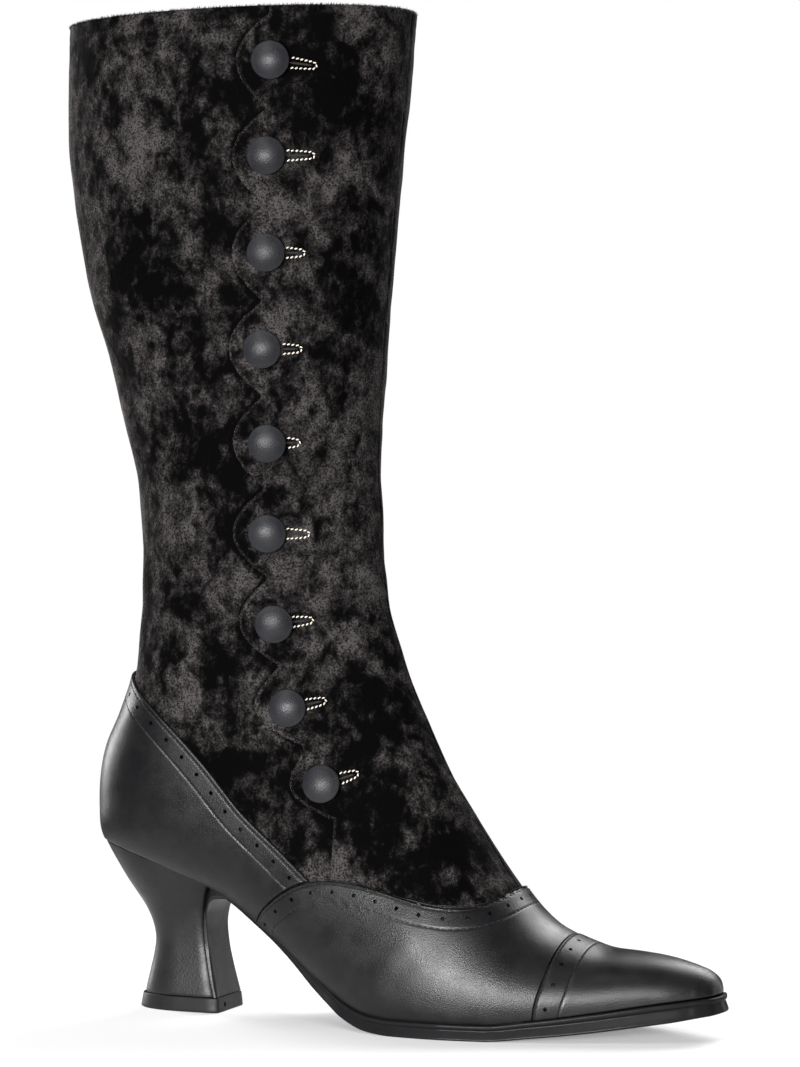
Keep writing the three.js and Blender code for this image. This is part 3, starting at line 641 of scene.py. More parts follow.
def cut(piece, cutter, sharp=40):
    """Cuts one mesh out of another and deletes the cutter."""
    modifier = piece.modifiers.new("holes", "BOOLEAN")
    modifier.operation = "DIFFERENCE"
    modifier.object = cutter
    modifier.solver = "MANIFOLD"
    shown = piece.evaluated_get(bpy.context.evaluated_depsgraph_get())
    mesh = bpy.data.meshes.new_from_object(shown)
    before = piece.data
    piece.modifiers.clear()
    piece.data = mesh
    mesh.name = before.name + "_cut"
    bpy.data.meshes.remove(before)
    bpy.data.objects.remove(cutter)
    finish_shading(mesh, sharp)


def rings_faces(count, around, first=0, closed_ends=True):
    """Faces over rings of points that follow each other, with one flat face over each end."""
    ids = first + np.arange(count * around).reshape(count, around)
    ids = np.concatenate([ids, ids[:, :1]], axis=1)
    faces = grid_faces(ids).tolist()
    if closed_ends:
        faces.append(list(range(first + around - 1, first - 1, -1)))
        last = first + (count - 1) * around
        faces.append(list(range(last, last + around)))
    return faces


def add_rings(name, rings, looks, **settings):
    """A piece over rings of points, closed at both ends."""
    return add_piece(name, rings.reshape(-1, 3), rings_faces(*rings.shape[:2]), looks, **settings)


def frames_at(path, distance):
    """Points over the form at these rows and turns, with the surface's normals there."""
    return off_form(*path.T, distance), normal_at(*path.T)


STITCH_SHAPE = [
    # share of the length, width and lift, in shares of the radius
    (0, 0.25, -0.5), (0.06, 0.7, -0.15), (0.2, 1, 0.15), (0.5, 1.08, 0.3), (0.8, 1, 0.15),
    (0.94, 0.7, -0.15), (1, 0.25, -0.5),
]


def add_stitches(name, starts, ends, normals, radius, look, slant=0.0, sides=8):
    """Stitches as short rounded strands from each start to its end, a little arched."""
    points, faces = [], []
    for start, end, normal in zip(starts, ends, normals):
        way = end - start
        length = np.linalg.norm(way)
        across = np.cross(normal, way / length)
        if slant:
            middle = (start + end) / 2
            way = way * math.cos(slant) + across * length * math.sin(slant)
            start = middle - way / 2
            across = np.cross(normal, way / np.linalg.norm(way))
        first = len(points)
        for share, width, lift in STITCH_SHAPE:
            centre = start + way * share + normal * lift * radius
            points.extend(circle(centre, radius * width, across, normal, sides))
        faces += rings_faces(len(STITCH_SHAPE), sides, first)
    return add_piece(name, np.array(points), faces, [look], weld=0, sharp=60)


def stitch_line(path, pitch, length, distance):
    """Starts, ends and normals of stitches along a line of rows and turns."""
    total = lengths_along(path)[-1]
    count = int(total / pitch)
    first = (total - count * pitch + pitch - length) / 2
    starts = first + np.arange(count) * pitch
    begins, normals = frames_at(at_lengths(path, starts), distance)
    ends, _ = frames_at(at_lengths(path, starts + length), distance)
    return begins, ends, normals


def add_drills(path, radius, depth_from, depth_to, flare=0.25, sides=20):
    """Cutters for round holes, a little wider at the top."""
    points, faces = [], []
    profile = [(depth_from, radius), (depth_to - 0.35, radius), (depth_to, radius + flare),
               (depth_to + 1.2, radius + flare * 1.6)]
    for centre, normal in zip(*frames_at(path, 0.0)):
        side, other = plane_across(normal, np.cross(normal, UP))
        first = len(points)
        for height, wide in profile:
            points.extend(circle(centre + normal * height, wide, side, other, sides))
        faces += rings_faces(len(profile), sides, first)
    return add_piece("drills", np.array(points), faces, [], weld=0)


# Materials
class Look:
    """A Principled material and its node tree."""

    def __init__(self, name, **sockets):
        self.material = bpy.data.materials.new(name)
        self.material.use_nodes = True
        self.tree = self.material.node_tree
        self.shader = self.tree.nodes["Principled BSDF"]
        for socket, value in sockets.items():
            self.shader.inputs[socket.replace("_", " ")].default_value = value
        self.place = self.node("ShaderNodeTexCoord").outputs["Object"]

    def node(self, kind, **settings):
        node = self.tree.nodes.new(kind)
        for name, value in settings.items():
            setattr(node, name, value)
        return node

    def link(self, output, node_input):
        self.tree.links.new(output, node_input)

    def stretched(self, x, y, z):
        node = self.node("ShaderNodeMapping")
        node.inputs["Scale"].default_value = (x, y, z)
        self.link(self.place, node.inputs["Vector"])
        return node.outputs["Vector"]

    def noise(self, millimetres, detail=2.0, rough=0.5, distortion=0.0, place=None):
        node = self.node("ShaderNodeTexNoise")
        node.inputs["Scale"].default_value = 1000 / millimetres
        node.inputs["Detail"].default_value = detail
        node.inputs["Roughness"].default_value = rough
        node.inputs["Distortion"].default_value = distortion
        self.link(place or self.place, node.inputs["Vector"])
        return node.outputs["Fac"]

    def cells(self, millimetres, smooth):
        node = self.node("ShaderNodeTexVoronoi", feature="SMOOTH_F1")
        node.inputs["Scale"].default_value = 1000 / millimetres
        node.inputs["Smoothness"].default_value = smooth
        self.link(self.place, node.inputs["Vector"])
        return node.outputs["Distance"]

    def math(self, operation, a, b=None, clamp=False):
        node = self.node("ShaderNodeMath", operation=operation, use_clamp=clamp)
        for spot, value in zip(node.inputs, (a, b)):
            if value is None:
                continue
            if isinstance(value, (int, float)):
                spot.default_value = value
            else:
                self.link(value, spot)
        return node.outputs[0]

    def weighed(self, *parts):
        """The sum of outputs, each times its weight."""
        total = None
        for output, weight in parts:
            part = self.math("MULTIPLY", output, weight)
            total = part if total is None else self.math("ADD", total, part)
        return total

    def between(self, value, low, high, out_low=0.0, out_high=1.0):
        node = self.node("ShaderNodeMapRange", interpolation_type="SMOOTHSTEP")
        self.link(value, node.inputs["Value"])
        node.inputs["From Min"].default_value = low
        node.inputs["From Max"].default_value = high
        node.inputs["To Min"].default_value = out_low
        node.inputs["To Max"].default_value = out_high
        return node.outputs["Result"]

    def mix(self, share, a, b):
        node = self.node("ShaderNodeMix", data_type="RGBA")
        self.link(share, node.inputs["Factor"])
        # the node's colours are its inputs 6 and 7 and its output 2
        node.inputs[6].default_value = (*a, 1)
        node.inputs[7].default_value = (*b, 1)
        return node.outputs[2]

    def mask(self, name):
        return self.node("ShaderNodeAttribute", attribute_name=name).outputs["Fac"]

    def bump(self, height, distance, strength=1.0, below=None):
        node = self.node("ShaderNodeBump")
        node.inputs["Distance"].default_value = distance * 0.001
        node.inputs["Strength"].default_value = strength
        self.link(height, node.inputs["Height"])
        if below is not None:
            self.link(below, node.inputs["Normal"])
        return node.outputs["Normal"]

    def colour(self, output):
        self.link(output, self.shader.inputs["Base Color"])

    def roughness(self, output):
        self.link(output, self.shader.inputs["Roughness"])

    def normal(self, output):
        self.link(output, self.shader.inputs["Normal"])


def velvet_look():
    look = Look("crushed_velvet", Roughness=0.9, Specular_IOR_Level=0.02, Sheen_Weight=0.1,
                Sheen_Roughness=0.22, Sheen_Tint=(1.0, 0.95, 0.93, 1))
    tall = look.stretched(1.0, 1.0, 0.8)
    patches = look.noise(24, 1, 0.5, 0.3, tall)
    crush = look.noise(8.5, 2, 0.4, 0.5, tall)
    small = look.noise(3.1, 2, 0.65, 0.4, tall)
    grain = look.noise(0.8, 2, 0.75)
    # the attribute mask adds painted light and shade to the nap: lit and shaded zones, and painted shadow
    # beside the flap's edge
    mottled = look.weighed((patches, 0.3), (crush, 0.42), (small, 0.32), (look.mask("painted_light_and_shade"), 0.075))
    light = look.between(mottled, 0.41, 0.72)
    light = look.math("POWER", light, 1.3)
    nap = look.math("MULTIPLY", light, look.between(grain, 0.32, 0.7, 0.1, 1.95))
    # painted sheen: a lighter speckled line where the turned velvet catches light, along the flap's scallops
    # and the collar hem
    painted_sheen = look.math("MULTIPLY", look.mask("painted_fold_sheen"), look.between(grain, 0.5, 0.62, 0.1, 1.0))
    nap = look.math("ADD", nap, painted_sheen, clamp=True)
    look.colour(look.mix(nap, (0.0008, 0.0007, 0.0007), (0.041, 0.0375, 0.0367)))
    soft = look.bump(mottled, 2.4, 0.5)
    look.normal(look.bump(grain, 0.3, 0.5, soft))
    return look.material


def leather_look(name, dark, light, rough, coat, grain_size=0.85, grain_depth=0.06):
    look = Look(name, Specular_IOR_Level=0.24, Coat_Weight=coat, Coat_Roughness=0.25)
    shade = look.noise(26, 3, 0.5)
    worn = look.between(look.noise(5, 3, 0.6), 0.35, 0.75)
    tone = look.math("MULTIPLY", look.math("ADD", shade, worn), 0.5)
    # painted highlight: the leather made lighter along its rounded edges, by the edge mask
    lit_edge = look.math("MULTIPLY", look.mask("edge"), 0.5)
    look.colour(look.mix(look.math("ADD", tone, lit_edge, clamp=True), dark, light))
    look.roughness(look.between(look.noise(9, 3, 0.6), 0.3, 0.7, rough - 0.05, rough + 0.06))
    pores = look.cells(grain_size, 0.6)
    fine = look.noise(grain_size * 0.7, 3, 0.6)
    height = look.weighed((pores, 0.6), (fine, 0.4))
    wave = look.bump(look.noise(14, 2, 0.5), 0.5, 0.08)
    look.normal(look.bump(height, grain_depth * 3, 0.5, wave))
    return look.material


def plain_look(name, dark, light, rough, size, depth, **sockets):
    look = Look(name, **sockets)
    tone = look.noise(size * 8, 3, 0.6)
    look.colour(look.mix(tone, dark, light))
    look.roughness(look.between(look.noise(size * 3, 2, 0.5), 0.3, 0.7, rough - 0.05, rough + 0.05))
    look.normal(look.bump(look.noise(size, 2, 0.6), depth, 0.5))
    return look.material


velvet = velvet_look()
leather = leather_look("satin_leather", (0.003, 0.003, 0.0033), (0.0065, 0.0065, 0.0072), 0.33, 0.02, 0.42)
heel_leather = leather_look("heel_leather", (0.004, 0.004, 0.0042), (0.008, 0.008, 0.0084), 0.42, 0.03)
button_cover = leather_look("button_cover", (0.008, 0.0081, 0.0096), (0.016, 0.0162, 0.0188), 0.42, 0.0,
                            0.5, 0.08)
sole_edge_look = plain_look("sole_edge", (0.004, 0.004, 0.0045), (0.007, 0.007, 0.0075), 0.55, 1.2, 0.03,
                            Specular_IOR_Level=0.05, Coat_Weight=0.08, Coat_Roughness=0.12)
rubber = plain_look("rubber", (0.006, 0.006, 0.0065), (0.011, 0.011, 0.0115), 0.44, 0.9, 0.06,
                    Specular_IOR_Level=0.12)
tread = plain_look("sole_underside", (0.015, 0.014, 0.013), (0.028, 0.026, 0.025), 0.7, 1.5, 0.15)
lining = plain_look("lining", (0.016, 0.014, 0.013), (0.03, 0.027, 0.025), 0.85, 0.6, 0.12,
                    Sheen_Weight=0.2, Sheen_Roughness=0.5)
insole_look = plain_look("insole", (0.045, 0.038, 0.032), (0.075, 0.066, 0.058), 0.6, 1.0, 0.08)
black_thread = plain_look("black_thread", (0.006, 0.006, 0.006), (0.02, 0.02, 0.02), 0.5, 0.3, 0.05,
                          Specular_IOR_Level=0.15)
cream_thread = plain_look("cream_thread", (0.3, 0.25, 0.19), (0.72, 0.67, 0.6), 0.6, 0.3, 0.06)
# a near-black look for the strands in the buttonhole slits: painted shadow in the openings
painted_slit_shadow = plain_look("hole", (0.002, 0.002, 0.002), (0.004, 0.004, 0.004), 0.9, 0.5, 0.02)


# Edges of the leather on the form
def side_line(edge, rise):
    """x and z of an edge that stands above the sole line by shares of a rise."""
    x = edge["x"] * FOOT_LENGTH
    return x, seat_line(x) + edge["up"] * rise


vamp_line = Curve(*side_line(VAMP_TOP, INSTEP_HEIGHT))
counter_line = Curve(*side_line(COUNTER_TOP, ANKLE_HEIGHT))
cap_x, cap_z = side_line(TOE_CAP, INSTEP_HEIGHT)
cap_line = Curve(cap_z, cap_x)


def below_vamp_line(row, turn, lift=0.0):
    points = on_form(row, turn)
    return vamp_line(points[..., 0]) + lift - points[..., 2]


def below_counter_line(row, turn):
    points = on_form(row, turn)
    return counter_line(points[..., 0]) - points[..., 2]


def ahead_of_cap_line(row, turn, back=0.0):
    points = on_form(row, turn)
    return points[..., 0] - cap_line(points[..., 2]) + back


def below_collar(row, turn):
    points = on_form(row, turn)
    return collar_line(points[..., 0]) - points[..., 2]


# The row where the form at a turn meets each of these lines
def vamp_row(turn, lift=0.0):
    return solve(lambda row: below_vamp_line(row, turn, lift), 4, 26)


def counter_row(turn):
    return solve(lambda row: below_counter_line(row, turn), 12, LAST_ROW)


def cap_row(turn, back=0.0):
    return solve(lambda row: ahead_of_cap_line(row, turn, back), 2, 16)


def collar_row(turn, drop=0.0):
    return solve(lambda row: below_collar(row, turn) - drop, FIRST_LEG_ROW, LAST_ROW)


def feather(first, last, side, count=240):
    """The line where the form meets the sole, between two rows."""
    share = (1 - np.cos(np.linspace(0, PI, count))) / 2
    rows = lerp(first, last, share)
    return spots(rows, crossing(rows, side))


def feather_rows(test, low, high):
    """The row where test crosses zero along the line between form and sole, for each side."""
    return {side: float(solve(lambda row: test(row, crossing(row, side)), low, high)) for side in (1, -1)}


vamp_back = feather_rows(below_vamp_line, 10.0, BACK_ROW - 0.01)
cap_back = feather_rows(ahead_of_cap_line, 4.0, 14.0)
vamp_front = feather_rows(lambda row, turn: ahead_of_cap_line(row, turn, GAP), 4.0, 14.0)


def over_ridge(row_at, foot_rows, count=500):
    """A line over the ridge, from the sole on the outer side to the sole on the inner side."""
    turns = np.linspace(float(crossing(foot_rows[1], 1)), float(crossing(foot_rows[-1], -1)), count)
    return spots(row_at(turns), turns)


# Soft dents and folds: side, width, depth, and the line as points of x and z
CREASES = [
    # folds of the velvet ahead of the ankle
    (1, 5, 0.5, [(118, 128), (108, 139), (97, 146)]),
    (1, 4.5, 0.45, [(121, 112), (112, 118), (104, 120)]),
    (-1, 6, 0.8, [(119, 131), (104, 142), (84, 148)]),
    (-1, 6, 0.7, [(123, 112), (108, 120), (86, 126)]),
    (-1, 7, 0.7, [(112, 158), (96, 163), (78, 161)]),
    # slack over the back of the ankle
    (1, 7, 0.9, [(20, 158), (34, 150), (52, 148)]),
    (1, 8, 0.8, [(20, 184), (35, 176), (56, 177)]),
    (1, 9, 0.6, [(16, 212), (34, 202), (58, 207)]),
    (-1, 7, 0.9, [(20, 162), (36, 153), (58, 152)]),
    (-1, 8, 0.8, [(18, 190), (36, 181), (60, 184)]),
    # slack in the calf
    (1, 12, 0.7, [(2, 262), (18, 252), (40, 256)]),
    (1, 13, 0.6, [(-8, 318), (10, 306), (30, 312)]),
    (-1, 12, 0.8, [(4, 268), (26, 256), (56, 262)]),
    (-1, 14, 0.7, [(88, 322), (70, 312), (44, 318)]),
]
LEATHER_CREASES = [
    # where the vamp bends behind the ball of the foot
    (1, 3.4, 0.1, [(150, 34), (141, 26), (133, 16)]),
    (1, 3.8, 0.1, [(141, 38), (130, 30), (121, 21)]),
    (1, 5, 0.12, [(112, 42), (103, 38), (95, 36)]),
    (-1, 3.6, 0.14, [(150, 34), (141, 26), (134, 16)]),
    (-1, 4, 0.15, [(139, 38), (128, 30), (118, 20)]),
    # the counter over the back of the heel
    (1, 8, 0.18, [(8, 118), (14, 106), (24, 98)]),
    (-1, 8, 0.18, [(8, 118), (14, 106), (24, 98)]),
]


def crease_lines(creases):
    found = []
    for side, width, depth, line in creases:
        line = np.array(line, float)
        knots = np.arange(len(line))
        fine = np.linspace(0, len(line) - 1, 60)
        x, z = Curve(knots, line[:, 0])(fine), Curve(knots, line[:, 1])(fine)
        found.append((on_form(*surface_spots(x, z, inner=side < 0).T), width, depth))
    return found


def relief(points, lines):
    """How far soft troughs, and the ridges beside them, move these points."""
    flat = points.reshape(-1, 3)
    total = np.zeros(len(flat))
    for line, width, depth in lines:
        low, high = line.min(axis=0) - 4 * width, line.max(axis=0) + 4 * width
        near = np.all((flat > low) & (flat < high), axis=1)
        if not near.any():
            continue
        away = np.linalg.norm(flat[near][:, None] - line[None], axis=2)
        fade = np.sin(PI * (0.08 + 0.84 * away.argmin(axis=1) / (len(line) - 1)))
        distance = away.min(axis=1)
        total[near] += depth * fade * (0.4 * hump(distance, width, 1.9 * width) - hump(distance, width))
    return total.reshape(points.shape[:-1])


velvet_creases = crease_lines(CREASES)
leather_creases = crease_lines(LEATHER_CREASES)


# Painted light and shade of the nap, darker or lighter, on the outer side: x, z, reach along x and z, and how
# much
PAINTED_NAP_ZONES = table("x z wide tall amount", """
    87 358 30 20 -0.6
    34 288 20 16 -0.6
    99 284 24 22 -0.7
    48 228 20 32 -0.6
    70 205 13 36 -0.7
    123 111 20 34 -1.3
    146 66 24 16 -1.4
    62 96 18 20 -0.8
    92 78 26 18 -1.0
    64 106 16 4 1.0
    62 98 18 4 -1.0
    108 352 22 20 -0.8
    112 212 13 30 0.25
    38 333 24 24 0.25
    116 329 12 18 0.4
    46 176 24 12 0.35
    108 60 20 7 0.3
""")


def painted_nap_light(row, turn):
    """Painted light and shade: zones on the outer side, and a painted sheen up the back of the leg."""
    points = on_form(row, turn)
    total = np.zeros(points.shape[:-1])
    for x, z, wide, tall, amount in zip(*PAINTED_NAP_ZONES.values()):
        away = ((points[..., 0] - x) / wide) ** 2 + ((points[..., 2] - z) / tall) ** 2
        total = total + amount * np.exp(-away)
    outer = smoothstep(np.sin(turn), 0.0, 0.35)
    # painted sheen: the velvet made lighter up the back of the leg, above the ankle
    back = smoothstep(np.abs(turn), 2.2, 2.75) * smoothstep(points[..., 2], 140, 190)
    return total * outer + 0.4 * back


def velvet_relief(row, turn):
    """Creases and the crushed surface of the velvet."""
    points = on_form(row, turn)
    crushed = 0.22 * noise(points, 13, 3) + 0.1 * noise(points, 5.5, 4)
    return relief(points, velvet_creases) + crushed


# Velvet upper with its lining
SIDE_COLUMNS = 92
FIRST_UPPER_ROW = 3.0
SEAM_LIFT = 0.62
RIM_STEPS = 7
HEM_STITCHES = 6.1


def shaft_turns(rows, side):
    """Turns from the ridge to the sole line or the back seam, a column for each."""
    last = np.where(under_height(rows) < 0, np.abs(crossing(rows, side)), PI)
    return side * np.linspace(0, 1, SIDE_COLUMNS)[:, None] * last[None]


def off_middle(row, turn):
    """How far a point is to the side of the ridge, or of the back."""
    return np.sin(np.abs(turn)) * section_curves["inner"](key_at(row))


def front_seam(row, turn):
    """The inner half's edge along the shin: a rounded lip with a groove at the seam."""
    across = off_middle(row, turn)
    return np.where(turn <= 0, SEAM_LIFT * hump(across, 11) * (1 - hump(across, 0.9)), 0)


def back_seam(row, turn):
    """A low welt up the back, with a groove along its middle."""
    across = off_middle(row, turn)
    return np.where(np.cos(turn) < 0, 0.35 * hump(across, 3.2) - 0.75 * hump(across, 0.75), 0)


def collar_band(below):
    """A turned hem: a little thicker than the rest, with a stitched groove under it."""
    return 0.08 * smoothstep(-below, -8, -5) - 0.1 * hump(below, 0.7, HEM_STITCHES)


def upper_half(side, foot_rows, leg_shares):
    """Rows and turns of the upper on one side, a line from the toe to the collar for each column."""
    foot_turns = shaft_turns(foot_rows, side)
    leg_turns = side * np.linspace(0, PI, SIDE_COLUMNS)
    top = collar_row(leg_turns, WALL / 2)
    leg_rows = lerp(foot_rows[-1], top[:, None], leg_shares[None])
    rows = np.concatenate([np.broadcast_to(foot_rows, foot_turns.shape), leg_rows], axis=1)
    turns = np.concatenate([foot_turns, np.broadcast_to(leg_turns[:, None], leg_rows.shape)], axis=1)
    return np.stack([rows, turns])


def build_upper():
    """The velvet outside, a rounded rim and the lining inside, as one closed wall."""
    foot_rows = np.linspace(FIRST_UPPER_ROW, FIRST_LEG_ROW - 3, 60)
    hem = [0.985, 0.99, 0.994, 0.9975]
    leg_shares = np.unique(np.concatenate([np.linspace(0, 1, 235)[1:], hem]))
    outer_half, inner_half = (upper_half(side, foot_rows, leg_shares) for side in (1, -1))
    rows, turns = np.concatenate([outer_half[:, ::-1], inner_half[:, 1:]], axis=1)
    base = on_form(rows, turns)
    below = collar_line(base[..., 0]) - base[..., 2]
    shaped = velvet_relief(rows, turns) * smoothstep(base[..., 2], 60, 90)
    shaped = shaped + back_seam(rows, turns) * smoothstep(base[..., 2], 120, 140)
    outer = off_form(rows, turns, shaped + front_seam(rows, turns) + collar_band(below))
    # the lining keeps every fifth place along each line, and the last one
    last = rows.shape[1] - 1
    keep = np.unique([*range(0, last + 1, 5), last])
    wavy = 0.35 * noise(base[:, keep], 16, 9) * smoothstep(below[:, keep], 1, 12)
    inner = off_form(rows[:, keep], turns[:, keep], wavy - WALL)
    middle, half = (inner[:, -1] + outer[:, -1]) / 2, (outer[:, -1] - inner[:, -1]) / 2
    rim = [
        middle + half * math.cos(angle) + UP * (WALL / 2) * math.sin(angle)
        for angle in PI * np.arange(1, RIM_STEPS) / RIM_STEPS
    ]
    grid = np.concatenate([outer, np.stack(rim, axis=1), inner[:, ::-1]], axis=1)
    faces = rings_faces(*grid.shape[:2], closed_ends=False)
    strip = np.tile(np.arange(grid.shape[1]), grid.shape[0] - 1)
    lined = (strip >= outer.shape[1] + RIM_STEPS + 1).astype(int)
    masks = {"painted_fold_sheen": np.zeros(grid.shape[:2]), "painted_light_and_shade": np.zeros(grid.shape[:2])}
    # painted sheen along the collar hem's stitched line
    masks["painted_fold_sheen"][:, :outer.shape[1]] = 0.35 * hump(below, 1.0, HEM_STITCHES)
    # painted shadow: the velvet under the flap darkened in a band beside its scalloped edge
    shade = hump(Nearest(dense(flap_edge(), 0.3))(outer), 1.3)
    masks["painted_light_and_shade"][:, :outer.shape[1]] = painted_nap_light(rows, turns) - 1.6 * shade
    masks = {name: values.reshape(-1) for name, values in masks.items()}
    return add_piece("upper_velvet", grid.reshape(-1, 3), faces, [velvet, lining], lined, masks)


# Leather panels
# Distances from a cut edge that its rounding needs
CLOSE = (0, 0.06, 0.15, 0.28, 0.45, 0.7, 1.1)
GROOVE_STEPS = (0, 0.1, 0.25, 0.45, 0.75)


def rounded(distance, radius=0.55):
    """A share of the thickness, which rises from 0 at an edge as a quarter circle does."""
    left = 1 - np.clip(distance / radius, 0, 1)
    return np.sqrt(np.clip(1 - left * left, 0, 1))


def close_rows(grooves, last):
    """Distances from an edge, closer together at the edge and at each groove."""
    rows = list(CLOSE)
    for groove in grooves:
        rows += [groove + step * way for step in GROOVE_STEPS for way in (1, -1)]
    rows += list(np.arange(CLOSE[-1] + 0.6, last + 0.1, 0.75))
    rows = sorted(row for row in rows if row >= 0)
    kept = [rows[0]]
    for row in rows[1:]:
        if row - kept[-1] > 0.07:
            kept.append(row)
    return kept


class Panel:
    """A leather panel over the form: a patch of rows and turns with one edge that is finished."""

    def __init__(self, patch, edge, border, thickness, grooves, pole=False, lift=0.0):
        self.pole, self.thickness, self.grooves, self.lift = pole, thickness, grooves, lift
        self.row, self.turn = patch[..., 0], patch[..., 1]
        self.base = off_form(self.row, self.turn, GAP)
        self.from_edge = Nearest(dense(edge))(self.base)
        from_border = Nearest(dense(border))(self.base)
        groove = sum(0.24 * hump(self.from_edge, 0.3, at) for at in grooves)
        soft = relief(self.base, leather_creases) + 0.1 * noise(self.base, 24, 11)
        thick = self.level(self.from_edge) - groove + soft
        self.outer = off_form(self.row, self.turn, GAP + thick * rounded(from_border))
        # painted highlight along the panel's rounded borders
        self.painted_edge_highlight = hump(from_border, 0.55) * 0.7

    def level(self, from_edge):
        """How thick the panel is at this distance from its finished edge, grooves left out. The band
        from the edge to the last groove is a little thicker."""
        ahead = self.grooves[-1] - from_edge
        return self.thickness + 0.05 * smoothstep(ahead, -0.3, 0.3) + self.lift * smoothstep(ahead, -14, 2)

    def build(self, name):
        return add_shell(name, self.outer, self.base, [leather], {"edge": self.painted_edge_highlight}, self.pole)

    def line_at(self, distance):
        """The line on the panel at this distance from its finished edge."""
        found = []
        for away, rows, turns in zip(self.from_edge, self.row, self.turn):
            beyond = np.nonzero(away > distance)[0]
            if len(beyond) == 0 or beyond[0] == 0:
                continue
            i = beyond[0]
            share = (distance - away[i - 1]) / (away[i] - away[i - 1])
            found.append((lerp(rows[i - 1], rows[i], share), lerp(turns[i - 1], turns[i], share)))
        return np.array(found)


HOLE_RADIUS = 0.8
HOLE_PITCH = 9.1
STITCH_PITCH = 2.3
STITCH_LENGTH = 1.7
STITCH_RADIUS = 0.2


def punch(piece, panel, distance, trim=4.0):
    """A row of holes at this distance from the panel's edge."""
    line = panel.line_at(distance)
    total = lengths_along(line)[-1] - 2 * trim
    count = int(round(total / HOLE_PITCH))
    centres = at_lengths(line, trim + np.linspace(0, total, count + 1))
    cut(piece, add_drills(centres, HOLE_RADIUS, GAP - 0.8, GAP + panel.thickness + panel.lift + 0.9))


def sew(name, panel, trim=1.5):
    """A line of stitches in each of the panel's grooves."""
    lines = []
    for distance in panel.grooves:
        line = panel.line_at(distance)
        line = at_lengths(line, np.linspace(trim, lengths_along(line)[-1] - trim, len(line)))
        sunk = GAP + panel.level(distance) - 0.18
        lines.append(stitch_line(line, STITCH_PITCH, STITCH_LENGTH, sunk))
    return add_stitches(name, *map(np.concatenate, zip(*lines)), STITCH_RADIUS, black_thread)


def patch_between(left, right, top, bottom, lines, columns):
    return coons(evenly(left, lines), evenly(right, lines), evenly(top, columns, CLOSE),
                 evenly(bottom, columns, CLOSE))


def vamp_panel():
    top = over_ridge(vamp_row, vamp_back)
    bottom = over_ridge(lambda turn: cap_row(turn, GAP), vamp_front)
    left, right = (feather(vamp_back[side], vamp_front[side], side) for side in (1, -1))
    grooves = (1.0, 7.8)
    patch = patch_between(left, right, top, bottom, 120, 290)
    patch = spread_rows(patch, 92, close_rows(grooves, 9.5), CLOSE)
    return Panel(patch, top, joined(left[::-1], top, right), LEATHER, grooves, lift=0.3)


def cap_panel():
    top = over_ridge(cap_row, cap_back)
    left, right = (feather(cap_back[side], -1, side) for side in (1, -1))
    columns = 150
    tip = spots(-1, np.linspace(left[-1, 1], right[-1, 1], columns))
    patch = coons(evenly(left, 160), evenly(right, 160), evenly(top, columns, CLOSE), tip)
    grooves = (0.95, 9.6)
    patch = spread_rows(patch, 96, close_rows(grooves, 11.0))
    return Panel(patch, top, joined(top, right, left[::-1]), CAP_LEATHER, grooves, pole=True)


def counter_panel():
    """The counter goes round the back of the heel, so its turns grow from the outer side past half a turn."""
    beside_vamp = 0.45
    seam_x = float(solve(lambda x: counter_line(x) - vamp_line(x) - beside_vamp, 68.0, 108.0))
    # up to this turn the top line is found by x, and round the back by turn
    round_turn = 2.6
    round_x = float(on_form(counter_row(round_turn), round_turn)[0])
    side_x = np.linspace(seam_x, round_x, 260)
    outer_top = surface_spots(side_x, counter_line(side_x))
    inner_top = surface_spots(side_x, counter_line(side_x), inner=True)[::-1] + [0, 2 * PI]
    round_turns = np.linspace(round_turn, 2 * PI - round_turn, 160)
    top = joined(outer_top, spots(counter_row(round_turns), round_turns), inner_top)

    def front_border(side, first):
        turns = np.linspace(first, abs(float(crossing(vamp_back[side], side))), 120)
        return spots(vamp_row(side * turns, beside_vamp), turns)

    left, right = front_border(1, top[0, 1]), front_border(-1, 2 * PI - top[-1, 1])
    right[:, 1] = 2 * PI - right[:, 1]
    outer = feather(left[-1, 0], BACK_ROW, 1)
    inner = feather(BACK_ROW, right[-1, 0], -1)
    outer[:, 1] = np.minimum(outer[:, 1], PI)
    inner[:, 1] = 2 * PI + np.maximum(inner[:, 1], -PI)
    bottom = joined(outer, inner)
    bottom[0], bottom[-1] = left[-1], right[-1]
    grooves = (1.9, 8.8)
    patch = patch_between(left, right, top, bottom, 90, 260)
    patch = spread_rows(patch, 84, close_rows(grooves, 10.5), CLOSE)
    return Panel(patch, top, joined(top, right, bottom[::-1], left[::-1]), LEATHER, grooves)


# The button flap
button_x = BUTTONS["forward"] * FOOT_LENGTH
button_z = HEEL_HEIGHT + BUTTONS["up"] * SHAFT_HEIGHT


def flap_thickness(turn):
    return lerp(SEAM_VELVET, FLAP_VELVET, smoothstep(np.abs(turn), 0, PI / 3))


# A power of the lobes' sine. The solid's is smaller, which makes its lobes a little fuller
LOBE_ROUNDNESS = 0.92


